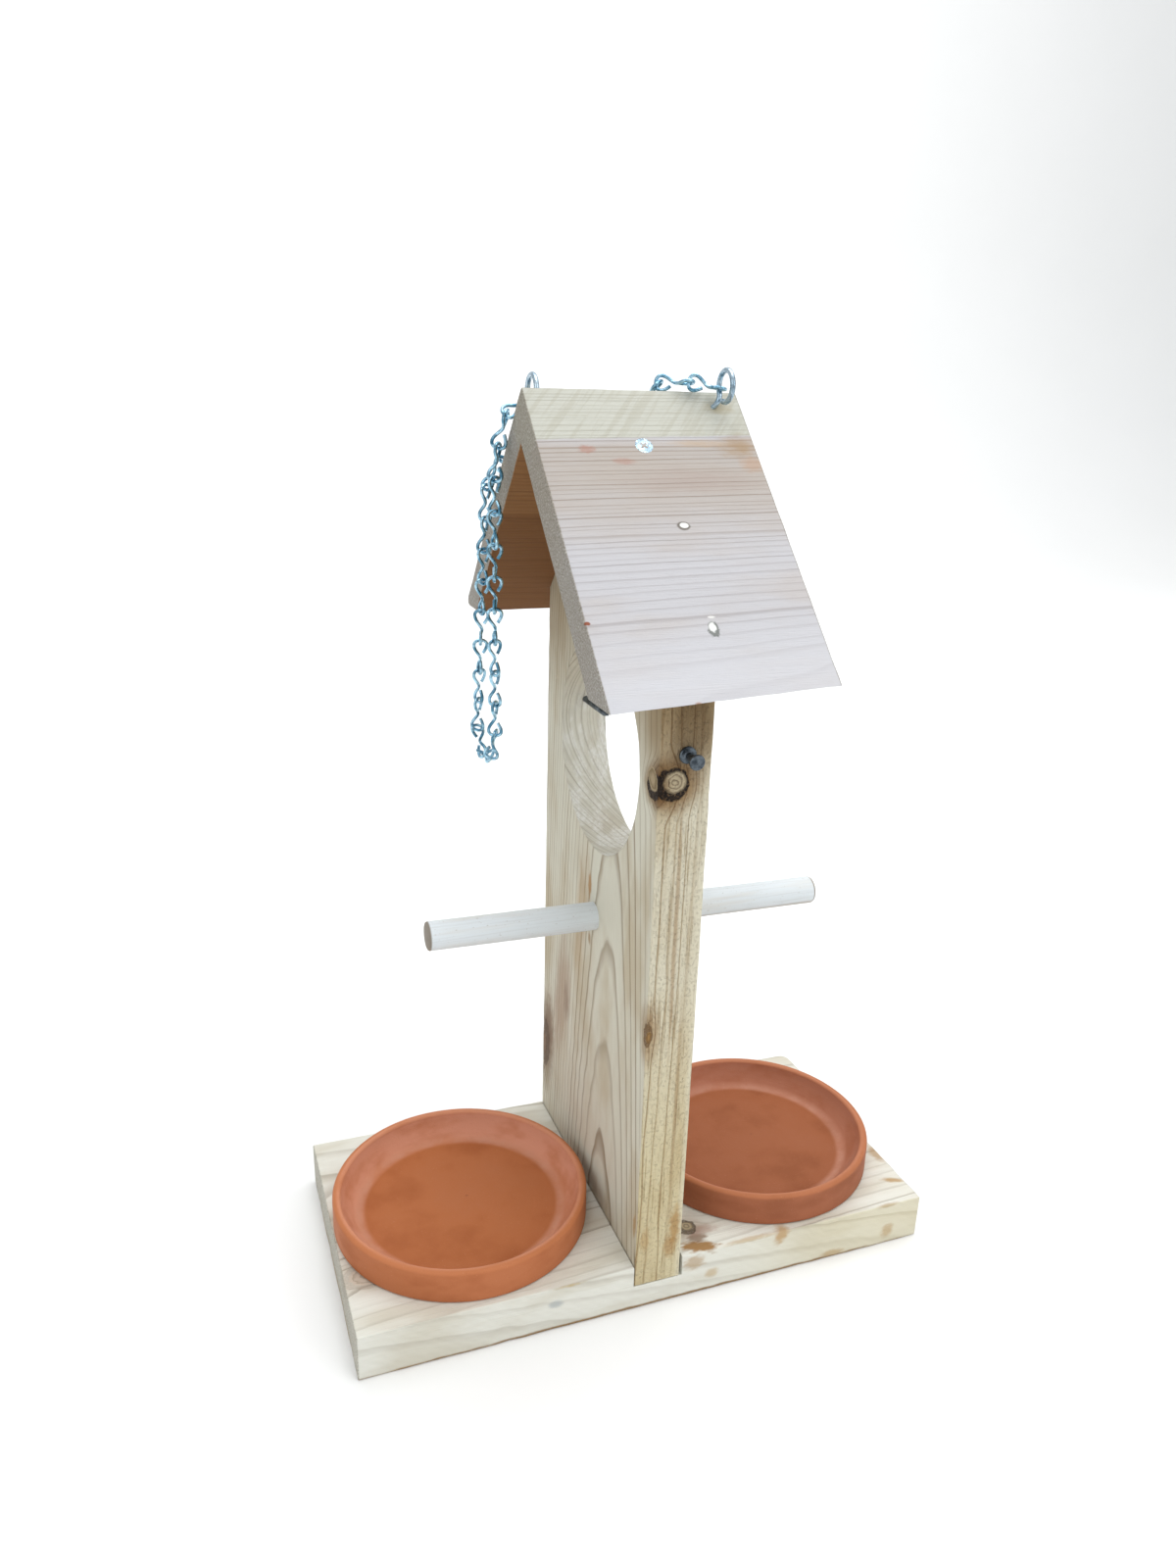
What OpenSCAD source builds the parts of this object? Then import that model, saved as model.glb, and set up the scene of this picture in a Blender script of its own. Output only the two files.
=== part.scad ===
// Wooden bird feeder: a notched base board, an upright board with a round food hole,
// a two board roof, a perch, two clay saucers, two removable double headed nails and
// a hanging chain on two screw eyes. Millimetres, +X right, +Y away, +Z up.
// The origin is the middle of the underside of the base board.

/* [Base board] */
// Length of the base board, left to right
base_l = 298; // [290:1:340]
// Width of the base board and of the upright, front to back
plank_w = 145; // [140:1:160]
// Thickness of the base board
base_t = 24.5; // [20:0.5:30]
// Radius of the worn corner at the back right of the base board
base_corner = 6; // [1:0.5:12]
// Depth of the notch across the top of the base board
notch_d = 11; // [8:0.5:12]
// Gap beside the upright in the notch, on its left
notch_gap_left = 0.3; // [0.2:0.1:1]
// Gap beside the upright in the notch, on its right
notch_gap_right = 1.4; // [0.2:0.1:2]

/* [Upright] */
// Thickness of the upright board
upright_t = 24; // [22:0.5:28]
// Middle of the upright, right of the middle of the base
upright_x = -3; // [-5:0.5:5]
// Height of the upright's pointed top above the floor
apex_z = 403; // [395:1:410]
// Diameter of the round food hole
hole_d = 102; // [90:1:105]
// Height of the middle of the food hole above the floor
hole_z = 267; // [260:1:270]
// Middle of the food hole, behind the middle of the upright
hole_y = -1.5; // [-3:0.5:3]

/* [Roof] */
// Slope of both roof boards in degrees
pitch = 45; // [44:0.5:46]
// Thickness of the roof boards
roof_t = 16; // [14:0.5:18]
// Length of the roof along the ridge
roof_l = 99; // [90:1:110]
// Middle of the roof, right of the middle of the base
roof_x = -3.5; // [-5:0.5:5]
// Length of the front slope at its left end
front_slope = 157; // [150:0.5:160]
// How much shorter the front slope is at its right end
front_skew = 5.5; // [0:0.5:8]
// Length of the back slope
back_slope = 154.5; // [150:0.5:160]
// How far the back board's left end leans in towards its lower edge
back_skew = 4; // [0:0.5:6]
// Radius of the back slope's worn lower edge
back_tip = 3; // [1:0.5:5]
// Radius of the front slope's lower edge
front_tip = 0.6; // [0.4:0.2:3]

/* [Perch] */
// Diameter of the perch
perch_d = 14; // [10:0.5:16]
// Length of the perch
perch_l = 205; // [150:1:230]
// Height of the perch where it passes the upright
perch_z = 180.5; // [170:0.5:190]
// Middle of the perch, right of the middle of the upright
perch_shift = 7; // [-10:0.5:10]
// Middle of the perch, behind the middle of the upright
perch_y = -3.5; // [-10:0.5:10]
// Fall of the perch towards the right in degrees
perch_fall = 0.85; // [0:0.05:2]

/* [Saucers] */
// Outer diameter of a saucer
saucer_d = 128.5; // [110:0.5:129]
// Height of a saucer
saucer_h = 17; // [15:0.5:30]
// Thickness of the saucer's wall at the rim
saucer_rim = 4.4; // [4:0.2:8]
// Thickness of the saucer's floor
saucer_floor = 4.5; // [4:0.5:8]
// Middle of the left saucer, left of the middle of the base
saucer_left_x = 84; // [83:0.5:90]
// Middle of the right saucer, right of the middle of the base
saucer_right_x = 81.5; // [80:0.5:85]
// Middle of the saucers, behind the middle of the base
saucer_y = -5; // [-8:0.5:8]

/* [Nails and screws] */
// Diameter of a nail's shank
nail_d = 3.3; // [2.8:0.1:4]
// Length of a nail's shank below its inner head
nail_l = 56; // [45:1:60]
// Diameter of a nail's inner head
nail_head_d = 7.6; // [6:0.1:9]
// Distance from a nail's inner head to its outer head
nail_neck = 9; // [6:0.5:10]
// Height of the front nail above the middle of the food hole
front_nail_rise = 17; // [14:0.5:22]
// Slope of the front nail in degrees, its point higher than its head
front_nail_tilt = 3; // [0:0.5:4]
// Height of the back nail above the middle of the food hole
back_nail_rise = 9.5; // [6:0.5:13]
// Diameter of a wood screw's head
screw_head_d = 8; // [7:0.2:9]
// Diameter of a wood screw's shank
screw_d = 4; // [3.5:0.1:4.5]
// Length of a wood screw
screw_l = 35; // [30:1:40]
// Distance from the ridge to the roof screws, along the slope
roof_screw_s = 31; // [28:1:60]

/* [Screw eyes and chain] */
// Outer diameter of a screw eye's ring
eye_d = 15.4; // [14:0.2:17]
// Diameter of a screw eye's wire
eye_wire = 2.4; // [2:0.1:2.8]
// Diameter of the chain's wire
chain_wire = 1.6; // [1.4:0.1:1.8]
// Distance from one chain joint to the next
chain_pitch = 14.5; // [14.4:0.01:14.6]
// Outer width of a chain link's loops
loop_w = 7.9; // [7.6:0.1:8.1]

/* [Hidden] */
$fn = 96;

// Small fits and reaches
slip = 0.05;       // clearance round a shank in its bore
reach = 1;         // how far a cutter runs past a face
big = 400;         // longer than any board

// Heights and places that follow from the sizes above
notch_z = base_t - notch_d;
upright_left = upright_x - upright_t / 2;
upright_right = upright_x + upright_t / 2;
ridge_z = apex_z + roof_t / cos(pitch);
roof_left = roof_x - roof_l / 2;
eave_z_front = ridge_z - front_slope * sin(pitch);
eave_z_back = ridge_z - back_slope * sin(pitch);
skew_angle = atan(front_skew * sin(pitch) / roof_l);
back_skew_angle = atan(back_skew / back_slope);

// Saucer section
saucer_r = saucer_d / 2;
rim_round = 1.9;
foot_round = 1.4;
inner_r = saucer_r - saucer_rim;
inner_fillet = 6;
inner_lean = 35; // degrees from upright

// Nail parts
nail_head_t = 1.5;
outer_head_d = 6.8;
nail_point = 5;
nail_x = upright_x + 0.3;
front_nail_z = hole_z + front_nail_rise;
back_nail_z = hole_z + back_nail_rise;

// Wood screw parts
screw_head_h = 2.6;
recess_w = 1.1;
recess_l = 4.6;
recess_d = 1.6;
screw_point = 5;
roof_screw_x = [upright_x - 3, upright_x + 4];      // front screw, back screw
base_screw_y = [-40, 40];
base_screw_x = upright_x;

// Perch
perch_chamfer = 0.8;
perch_x = upright_x + perch_shift;

// Screw eyes: place along the ridge, distance down the slope, lean of the ring,
// lean of the stem towards +X and the stem's free length
right_eye = [roof_x + 36.1, 9, 38, 24, 5];
left_eye = [roof_x - 40.5, 12.1, -32.5, 0, 1.9];
eye_shank_l = 10.5;
eye_shank_d = eye_wire - 0.2;
eye_ring_r = (eye_d - eye_wire) / 2;
eye_point = 3;
eye_gap = 22;                // opening between the ring's end and the stem, in degrees

// Chain links
link_gap = 0.3;
link_half = (chain_pitch + chain_wire + link_gap) / 2;
link_side = (loop_w - chain_wire) / 2;
link_start = 13;             // the wire starts this many degrees round its first loop
link_twist = 34;             // half of the stretch that turns the second loop by 90 degrees
link_rings = 26;
link_sides = 6;

// Where the chain's joints lie, from the left eye round to the right eye
chain_home = [roof_x, 0, ridge_z];
left_ring_joint = chain_home + [-39.2, 18.7, -3.9];
front_top = chain_home + [-50.9, 16.1, -10.9];
front_second = chain_home + [-54.1, 18, -24.3];
front_line = chain_home + [-55.4, 19, -38.6];
front_count = 8;
bend_front = chain_home + [-55.9, 24.4, -167.2];
bend_back = chain_home + [-56.4, 37.9, -169.8];
edge_joint = chain_home + [-46.4, 38.9, -31.6];
back_top = chain_home + [-53.6, 39.8, -43.5];
back_aim = chain_home + [-56.8, 45.5, -159.6];
back_count = 8;
ridge_joint = chain_home + [13.9, 3.4, 2.9];
ridge_middle = chain_home + [26.2, -3, 3.7];
right_ring_joint = chain_home + [39.7, -7.6, 1.2];
roof_count = 6;

// How far each link is turned about its own length, from the top of its stretch
tail_turn = -38;
front_turns = [79, 75, 50, 25, 0, 0, 15, 40, 60, 74];
bend_turns = [142, 147, 163];
back_turns = [59, 70, 45, 25, 5, 20, 40, 66];
edge_turn = 273;
roof_turns = [125, 96, 80, 70, 75, 63];
ridge_turns = [0, -14];
across = [0.935, -0.353, 0]; // spread of the upper loop of a hanging link that isn't turned
upward = [0, 0, 1];
off_roof = [0, sin(pitch), cos(pitch)];

function unit(v) = v / norm(v);
function swing(v, axis, a) = v * cos(a) + cross(axis, v) * sin(a);
function smooth(x) = let (c = max(0, min(1, x))) c * c * (3 - 2 * c);
function arc(cx, cy, r, a0, a1, n) =
    [for (i = [0 : n]) let (a = a0 + (a1 - a0) * i / n) [cx + r * cos(a), cy + r * sin(a)]];

// A place on a roof slope: x along the ridge, s down the slope, h out from the wood
function on_back(x, s, h) =
    [x, s * cos(pitch) + h * sin(pitch), ridge_z - s * sin(pitch) + h * cos(pitch)];
function down_slope(p) = p[1] * cos(pitch) - (p[2] - ridge_z) * sin(pitch);
function off_slope(p) = p[1] * sin(pitch) + (p[2] - ridge_z) * cos(pitch);

// The hanging stretches
front_points = concat([front_top, front_second],
    [for (i = [0 : front_count]) front_line - chain_pitch * i * upward]);
back_points = [for (i = [0 : back_count])
    back_top + chain_pitch * i * unit(back_aim - back_top)];
bend_points = [front_points[front_count + 2], bend_front, bend_back,
               back_points[back_count]];

// The stretch on the back slope sags in an even bow between the ridge and the gable edge
roof_dx = edge_joint[0] - ridge_joint[0];
roof_ds = down_slope(edge_joint) - down_slope(ridge_joint);
roof_chord = norm([roof_dx, roof_ds]);
roof_bow = 15;               // how much each link there turns from the one before, in degrees
function roof_heading(i) = atan2(roof_ds, roof_dx) + (i - (roof_count - 1) / 2) * roof_bow;
function roof_run(i) = i == 0 ? [0, 0] :
    roof_run(i - 1) + chain_pitch * [cos(roof_heading(i - 1)), sin(roof_heading(i - 1))];
roof_scale = roof_chord / norm(roof_run(roof_count));
roof_points = [for (i = [0 : roof_count]) let (v = roof_run(i) * roof_scale, k = i / roof_count)
    on_back(ridge_joint[0] + v[0], down_slope(ridge_joint) + v[1],
            off_slope(ridge_joint) * (1 - k) + off_slope(edge_joint) * k)];

// Turn of a link's side direction at wire angle t, and the wire's middle line there
function link_turn(t) = 90 * smooth((t - 180 + link_twist) / (2 * link_twist));
function link_point(t) = let (a = link_turn(t), s = link_side * sin(2 * t))
    [s * cos(a), s * sin(a), link_half * sin(t)];
function link_ring(t) = let (
    along = unit(link_point(t + 1) - link_point(t - 1)),
    flat = [-sin(link_turn(t)), cos(link_turn(t)), 0],
    e1 = unit(flat - (flat * along) * along),
    e2 = cross(along, e1))
    [for (j = [0 : link_sides - 1]) let (a = 360 * j / link_sides)
        link_point(t) + chain_wire / 2 * (cos(a) * e1 + sin(a) * e2)];
link_mesh = [for (i = [0 : link_rings - 1])
    for (p = link_ring(link_start + (360 - 2 * link_start) * i / (link_rings - 1))) p];
link_faces = concat(
    [[for (j = [0 : link_sides - 1]) j]],
    [[for (j = [link_sides - 1 : -1 : 0]) (link_rings - 1) * link_sides + j]],
    [for (i = [0 : link_rings - 2], j = [0 : link_sides - 1])
        let (k = (j + 1) % link_sides, a = i * link_sides, b = a + link_sides)
        [a + j, b + j, b + k, a + k]]);

// One chain link from joint p down to joint q; its upper loop spreads along side, turned by turn
module chain_link(p, q, side, turn) {
    up = unit(p - q);
    sx = swing(unit(side - (side * up) * up), up, turn);
    sy = cross(up, sx);
    middle = (p + q) / 2;
    polyhedron([for (v = link_mesh) middle + v[0] * sx + v[1] * sy + v[2] * up], link_faces);
}

module chain(points, side, turns) {
    color("lightsteelblue")
        for (i = [0 : len(points) - 2])
            chain_link(points[i], points[i + 1], side, turns[i]);
}

// Carries what stands on a roof slope's line: origin on the outer face, +Z out of the wood
module on_slope(x, s, back) {
    y = s * cos(pitch);
    translate([x, back ? y : -y, ridge_z - s * sin(pitch)]) children();
}

module square_to_slope(back) {
    rotate([back ? -pitch : pitch, 0, 0]) children();
}

// Countersunk wood screw with its head's top at z = 0 and its point down
module wood_screw() {
    color("silver") difference() {
        union() {
            translate([0, 0, -screw_head_h])
                cylinder(d1 = screw_d, d2 = screw_head_d, h = screw_head_h);
            translate([0, 0, screw_point - screw_l])
                cylinder(d = screw_d, h = screw_l - screw_point - screw_head_h);
            translate([0, 0, -screw_l])
                cylinder(d1 = 0.6, d2 = screw_d, h = screw_point);
        }
        for (a = [45, 135]) rotate([0, 0, a])
            translate([-recess_l / 2, -recess_w / 2, -recess_d])
                cube([recess_l, recess_w, recess_d + reach]);
    }
}

// The room that a wood screw takes, as far down as depth
module screw_bore(depth) {
    translate([0, 0, -depth]) cylinder(d = screw_d + 2 * slip, h = depth);
    translate([0, 0, -screw_head_h - slip])
        cylinder(d1 = screw_d, d2 = screw_head_d + 2 * slip, h = screw_head_h + slip);
    cylinder(d = screw_head_d + 2 * slip, h = reach);
}

module place_roof_screw(back) {
    on_slope(roof_screw_x[back ? 1 : 0], roof_screw_s, back) square_to_slope(back)
        children();
}

module place_base_screws() {
    for (y = base_screw_y) translate([base_screw_x, y, 0]) rotate([180, 0, 0]) children();
}

// Double headed nail: inner head's underside at z = 0, point down
module nail() {
    color("dimgray") {
        translate([0, 0, nail_point - nail_l]) cylinder(d = nail_d, h = nail_l - nail_point);
        translate([0, 0, -nail_l]) cylinder(d1 = 0.5, d2 = nail_d, h = nail_point);
        cylinder(d = nail_head_d, h = nail_head_t);
        translate([0, 0, nail_head_t]) cylinder(d = nail_d, h = nail_neck - nail_head_t);
        translate([0, 0, nail_neck]) cylinder(d = outer_head_d, h = nail_head_t);
    }
}

module place_front_nail() {
    translate([nail_x, -plank_w / 2, front_nail_z]) rotate([90 + front_nail_tilt, 0, 0])
        translate([0, 0, nail_head_d / 2 * tan(front_nail_tilt)]) children();
}

module place_back_nail() {
    translate([nail_x, plank_w / 2, back_nail_z]) rotate([-90, 0, 0]) children();
}

module nail_bore() {
    translate([0, 0, -nail_l]) cylinder(d = nail_d + 2 * slip, h = nail_l + reach);
}

// Screw eye: the wood's face at the origin, the ring upright in the YZ plane
module eye_stem(lean, d, from, to) {
    rotate([0, lean, 0]) translate([0, 0, from]) cylinder(d = d, h = to - from);
}

module screw_eye(eye) {
    lean = eye[3];
    stem = eye[4];
    color("silver") {
        eye_stem(lean, eye_shank_d, eye_point - eye_shank_l, stem);
        rotate([0, lean, 0]) translate([0, 0, -eye_shank_l])
            cylinder(d1 = 0.5, d2 = eye_shank_d, h = eye_point);
        translate([stem * sin(lean), 0, stem * cos(lean)]) {
            sphere(d = eye_wire, $fn = 32);
            translate([0, 0, eye_ring_r]) rotate([0, 90, 0])
                rotate_extrude(angle = 360 - eye_gap)
                    translate([eye_ring_r, 0]) circle(d = eye_wire, $fn = 32);
        }
    }
}

module place_eye(eye, back) {
    on_slope(eye[0], eye[1], back) rotate([eye[2], 0, 0]) children();
}

module eye_bore(eye) {
    eye_stem(eye[3], eye_shank_d + 2 * slip, -eye_shank_l, eye[4]);
}

module place_perch() {
    translate([perch_x, perch_y, perch_z - perch_shift * tan(perch_fall)])
        rotate([0, 90 + perch_fall, 0]) children();
}

module base_board() {
    color("wheat") difference() {
        linear_extrude(base_t) polygon(concat(
            [[-base_l / 2, plank_w / 2], [-base_l / 2, -plank_w / 2], [base_l / 2, -plank_w / 2]],
            arc(base_l / 2 - base_corner, plank_w / 2 - base_corner, base_corner, 0, 90, 6)));
        translate([upright_left - notch_gap_left, -plank_w / 2 - reach, notch_z])
            cube([upright_t + notch_gap_left + notch_gap_right, plank_w + 2 * reach,
                  notch_d + reach]);
        place_base_screws() screw_bore(base_t);
    }
}

module upright_board() {
    shoulder_z = apex_z - plank_w / 2 * tan(pitch);
    color("burlywood") difference() {
        translate([upright_left, 0, 0]) rotate([90, 0, 90]) linear_extrude(upright_t)
            polygon([[-plank_w / 2, notch_z], [plank_w / 2, notch_z],
                     [plank_w / 2, shoulder_z], [0, apex_z], [-plank_w / 2, shoulder_z]]);
        translate([upright_left - reach, hole_y, hole_z]) rotate([0, 90, 0])
            cylinder(d = hole_d, h = upright_t + 2 * reach);
        place_perch() translate([0, 0, -perch_l / 2]) cylinder(d = perch_d + 2 * slip, h = perch_l);
        place_front_nail() nail_bore();
        place_back_nail() nail_bore();
        for (back = [false, true]) place_roof_screw(back) screw_bore(screw_l);
        place_base_screws() screw_bore(screw_l);
    }
}

// One roof board on the back slope: mitred upright at the ridge, cut level at its lower edge
module roof_bar(eave_z, tip) {
    top_y = (ridge_z - eave_z) / tan(pitch);
    inner_y = top_y - roof_t / sin(pitch);
    translate([roof_left, 0, 0]) rotate([90, 0, 90]) linear_extrude(roof_l)
        polygon(concat([[0, ridge_z], [0, apex_z], [inner_y, eave_z]],
            arc(top_y - tip / tan(pitch / 2), eave_z + tip, tip, -90, 90 - pitch, 5)));
}

module roof_board_front() {
    color("lightgray") difference() {
        mirror([0, 1, 0]) roof_bar(eave_z_front, front_tip);
        translate([roof_left, -big / 2, eave_z_front]) rotate([0, -skew_angle, 0])
            translate([-reach, 0, -big / 4]) cube([roof_l + 4 * reach, big / 2, big / 4]);
        place_roof_screw(false) screw_bore(screw_l);
        place_eye(right_eye, false) eye_bore(right_eye);
    }
}

module roof_board_back() {
    color("tan") difference() {
        roof_bar(eave_z_back, back_tip);
        translate([roof_left, 0, ridge_z]) rotate([-pitch, 0, 0])
            rotate([0, 0, -back_skew_angle])
            translate([-roof_t, -reach, -2 * roof_t])
                cube([roof_t, back_slope + 2 * reach, 2 * roof_t + reach]);
        place_roof_screw(true) screw_bore(screw_l);
        place_eye(left_eye, true) eye_bore(left_eye);
    }
}

module perch_dowel() {
    color("whitesmoke") place_perch() {
        translate([0, 0, perch_chamfer - perch_l / 2]) cylinder(d = perch_d, h = perch_l - 2 * perch_chamfer);
        for (up = [0, 1]) mirror([0, 0, up]) translate([0, 0, -perch_l / 2])
            cylinder(d1 = perch_d - 2 * perch_chamfer, d2 = perch_d, h = perch_chamfer);
    }
}

// Round dish with a thick rounded rim and a rounded corner between wall and floor
module saucer() {
    wall_foot = saucer_floor + inner_fillet * (1 - sin(inner_lean));
    wall_run = (saucer_h - rim_round - wall_foot) * tan(inner_lean);
    fillet_x = inner_r - wall_run - inner_fillet * cos(inner_lean);
    color("peru") translate([0, 0, base_t]) rotate_extrude() polygon(concat(
        [[0, 0], [saucer_r - foot_round, 0]],
        arc(saucer_r - foot_round, foot_round, foot_round, -90, 0, 4),
        arc(saucer_r - rim_round, saucer_h - rim_round, rim_round, 0, 90, 6),
        arc(inner_r + rim_round, saucer_h - rim_round, rim_round, 90, 180, 6),
        arc(fillet_x, saucer_floor + inner_fillet, inner_fillet, -inner_lean, -90, 6),
        [[0, saucer_floor]]));
}

module saucer_left() { translate([-saucer_left_x, saucer_y, 0]) saucer(); }
module saucer_right() { translate([saucer_right_x, saucer_y, 0]) saucer(); }
module nail_front() { place_front_nail() nail(); }
module nail_back() { place_back_nail() nail(); }
module roof_screws() { for (back = [false, true]) place_roof_screw(back) wood_screw(); }
module base_screws() { place_base_screws() wood_screw(); }
module screw_eye_left() { place_eye(left_eye, true) screw_eye(left_eye); }
module screw_eye_right() { place_eye(right_eye, false) screw_eye(right_eye); }
module chain_tail_link() { chain([left_ring_joint, front_top], [0, 1, 0], [tail_turn]); }
module chain_front_strand() { chain(front_points, across, front_turns); }
module chain_bend_links() { chain(bend_points, upward, bend_turns); }
module chain_back_strand() { chain(back_points, across, back_turns); }
module chain_edge_link() { chain([edge_joint, back_top], off_roof, [edge_turn]); }
module chain_roof_run() { chain(roof_points, off_roof, roof_turns); }
module chain_ridge_links() {
    chain([right_ring_joint, ridge_middle, ridge_joint], [0, 1, 0], ridge_turns);
}

base_board();
upright_board();
roof_board_front();
roof_board_back();
perch_dowel();
saucer_left();
saucer_right();
nail_front();
nail_back();
roof_screws();
base_screws();
screw_eye_left();
screw_eye_right();
chain_tail_link();
chain_front_strand();
chain_bend_links();
chain_back_strand();
chain_edge_link();
chain_roof_run();
chain_ridge_links();
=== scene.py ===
import bpy
from math import radians, sin, cos, tan, pi, atan2, hypot
from mathutils import Matrix, Vector


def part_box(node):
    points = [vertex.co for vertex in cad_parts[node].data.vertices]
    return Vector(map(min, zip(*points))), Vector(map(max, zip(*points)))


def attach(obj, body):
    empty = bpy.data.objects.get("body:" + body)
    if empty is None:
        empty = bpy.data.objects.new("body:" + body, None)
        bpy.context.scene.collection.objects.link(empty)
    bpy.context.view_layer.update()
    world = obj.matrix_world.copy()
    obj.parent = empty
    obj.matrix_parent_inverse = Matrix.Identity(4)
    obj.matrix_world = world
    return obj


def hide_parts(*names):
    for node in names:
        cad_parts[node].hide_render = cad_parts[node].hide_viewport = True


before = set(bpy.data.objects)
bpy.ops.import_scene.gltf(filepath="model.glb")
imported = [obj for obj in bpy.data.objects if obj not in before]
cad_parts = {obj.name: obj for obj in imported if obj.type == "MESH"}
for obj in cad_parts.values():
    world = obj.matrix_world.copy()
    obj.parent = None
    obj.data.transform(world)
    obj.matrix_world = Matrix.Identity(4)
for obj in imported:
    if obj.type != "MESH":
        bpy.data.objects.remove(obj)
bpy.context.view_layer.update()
mm = 0.001

# Sizes that several pieces share, in mm, taken from the frame or as built
boardBox = {name: [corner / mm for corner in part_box(name)] for name in
            ("base_board", "upright_board", "roof_board_front", "roof_board_back")}
house = {
    "pitch": 45.0,
    "ridgeZ": boardBox["roof_board_front"][1].z,
    "roofX": (boardBox["roof_board_front"][0].x + boardBox["roof_board_front"][1].x) / 2,
    "roofL": boardBox["roof_board_front"][1].x - boardBox["roof_board_front"][0].x,
    "roofT": 16.0,
    "plankW": 145.0,
    "uprightX": (boardBox["upright_board"][0].x + boardBox["upright_board"][1].x) / 2,
    "uprightT": boardBox["upright_board"][1].x - boardBox["upright_board"][0].x,
    "baseT": boardBox["base_board"][1].z,
    "holeD": 102.0, "holeY": -1.5, "holeZ": 267.0,
}
roofLeft = house["roofX"] - house["roofL"] / 2
plankHalf = house["plankW"] / 2


def vec(x, y, z):  # a place given in mm
    return Vector((x, y, z)) * mm


# Camera at the photograph's place

def makeCamera():
    view = {"place": (-199.478, -478.462, 425.137), "yaw": -20.71, "pitch": -19.055,
            "roll": 1.541, "lens": 26.21}
    turn = (Matrix.Rotation(radians(view["yaw"]), 4, "Z")
            @ Matrix.Rotation(radians(90 + view["pitch"]), 4, "X")
            @ Matrix.Rotation(radians(view["roll"]), 4, "Z"))
    bpy.ops.object.camera_add()
    camera = bpy.context.object
    camera.name = "photoCamera"
    camera.matrix_world = Matrix.Translation(vec(*view["place"])) @ turn
    camera.data.lens = view["lens"]
    camera.data.sensor_width = 36
    camera.data.clip_start = 0.01
    bpy.context.scene.camera = camera
    print("camera set")


# Modelling helpers, each the way it is done by hand

def only(piece):
    bpy.ops.object.select_all(action="DESELECT")
    piece.select_set(True)
    bpy.context.view_layer.objects.active = piece


def editOn(piece):
    only(piece)
    bpy.ops.object.mode_set(mode="EDIT")


def editOff():
    bpy.ops.object.mode_set(mode="OBJECT")


def settle(piece):  # the place goes into the mesh and the object stays at the origin
    only(piece)
    bpy.ops.object.transform_apply(location=True, rotation=True, scale=True)


def placeBy(piece, matrix):
    piece.matrix_world = matrix @ piece.matrix_world
    settle(piece)


def applyModifier(piece, kind, **settings):
    modifier = piece.modifiers.new(kind.lower(), kind)
    for key, value in settings.items():
        setattr(modifier, key, value)
    only(piece)
    bpy.ops.object.modifier_apply(modifier=modifier.name)


def raiseLumps(piece, name, grain, height, middle, **others):  # uneven by height mm, in lumps of grain mm
    lumps = bpy.data.textures.new(piece.name + name, "CLOUDS")
    lumps.noise_scale = grain * mm
    applyModifier(piece, "DISPLACE", texture=lumps, texture_coords="LOCAL", strength=height * mm,
                  mid_level=middle, **others)


def copyOf(piece, name):
    only(piece)
    bpy.ops.object.duplicate(linked=False)
    twin = bpy.context.object
    twin.name = name
    return twin


def remove(piece):
    only(piece)
    bpy.ops.object.delete()


def addBlock(name, low, high):
    low, high = Vector(low) * mm, Vector(high) * mm
    bpy.ops.mesh.primitive_cube_add(size=1, location=(low + high) / 2)
    block = bpy.context.object
    block.name = name
    block.scale = high - low
    settle(block)
    return block


def planeCut(piece, point, normal, clear=True):  # clear takes away what lies behind the plane
    editOn(piece)
    bpy.ops.mesh.select_all(action="SELECT")
    bpy.ops.mesh.bisect(plane_co=point, plane_no=normal, use_fill=clear, clear_inner=clear)
    editOff()


def sliceAlong(piece, start, direction, step):  # rings of edges that the wear can bend
    direction = Vector(direction).normalized()
    reach = [(v.co - Vector(start)) @ direction for v in piece.data.vertices]
    count = int((max(reach) - min(reach)) / step)
    for i in range(1, count):
        at = min(reach) + (max(reach) - min(reach)) * i / count
        planeCut(piece, Vector(start) + direction * at, direction, clear=False)


def wearEdges(piece, wear):
    editOn(piece)
    bpy.ops.mesh.select_mode(type="EDGE")
    bpy.ops.mesh.select_all(action="DESELECT")
    bpy.ops.mesh.edges_select_sharp(sharpness=radians(35))
    bpy.ops.mesh.bevel(offset=wear["round"] * mm, segments=3, profile=0.55, clamp_overlap=False)
    bpy.ops.object.vertex_group_add()
    bpy.ops.object.vertex_group_assign()
    bpy.ops.mesh.select_mode(type="VERT")
    editOff()
    # With the middle above 0.5 more wood is worn off than is left standing
    raiseLumps(piece, "Wear", wear["length"], wear["depth"], 0.62,
               vertex_group=piece.vertex_groups[0].name)
    faceOutward(piece)


def faceOutward(piece):
    editOn(piece)
    bpy.ops.mesh.select_all(action="SELECT")
    bpy.ops.mesh.normals_make_consistent(inside=False)
    editOff()


def pickEdges(piece, wanted):  # wanted tells by an end's place in mm, and edit mode stays on
    editOn(piece)
    bpy.ops.mesh.select_mode(type="EDGE")
    bpy.ops.mesh.select_all(action="DESELECT")
    editOff()
    for edge in piece.data.edges:
        edge.select = all(wanted(piece.data.vertices[i].co / mm) for i in edge.vertices)
    editOn(piece)


def roundOff(radius, segments):
    bpy.ops.mesh.bevel(offset=radius * mm, segments=segments, profile=0.5, clamp_overlap=False)
    bpy.ops.mesh.select_mode(type="VERT")
    editOff()


def cutAway(piece, cutter):
    faceOutward(cutter)
    applyModifier(piece, "BOOLEAN", object=cutter, operation="DIFFERENCE", solver="EXACT",
                  use_hole_tolerant=True)
    remove(cutter)


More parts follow.
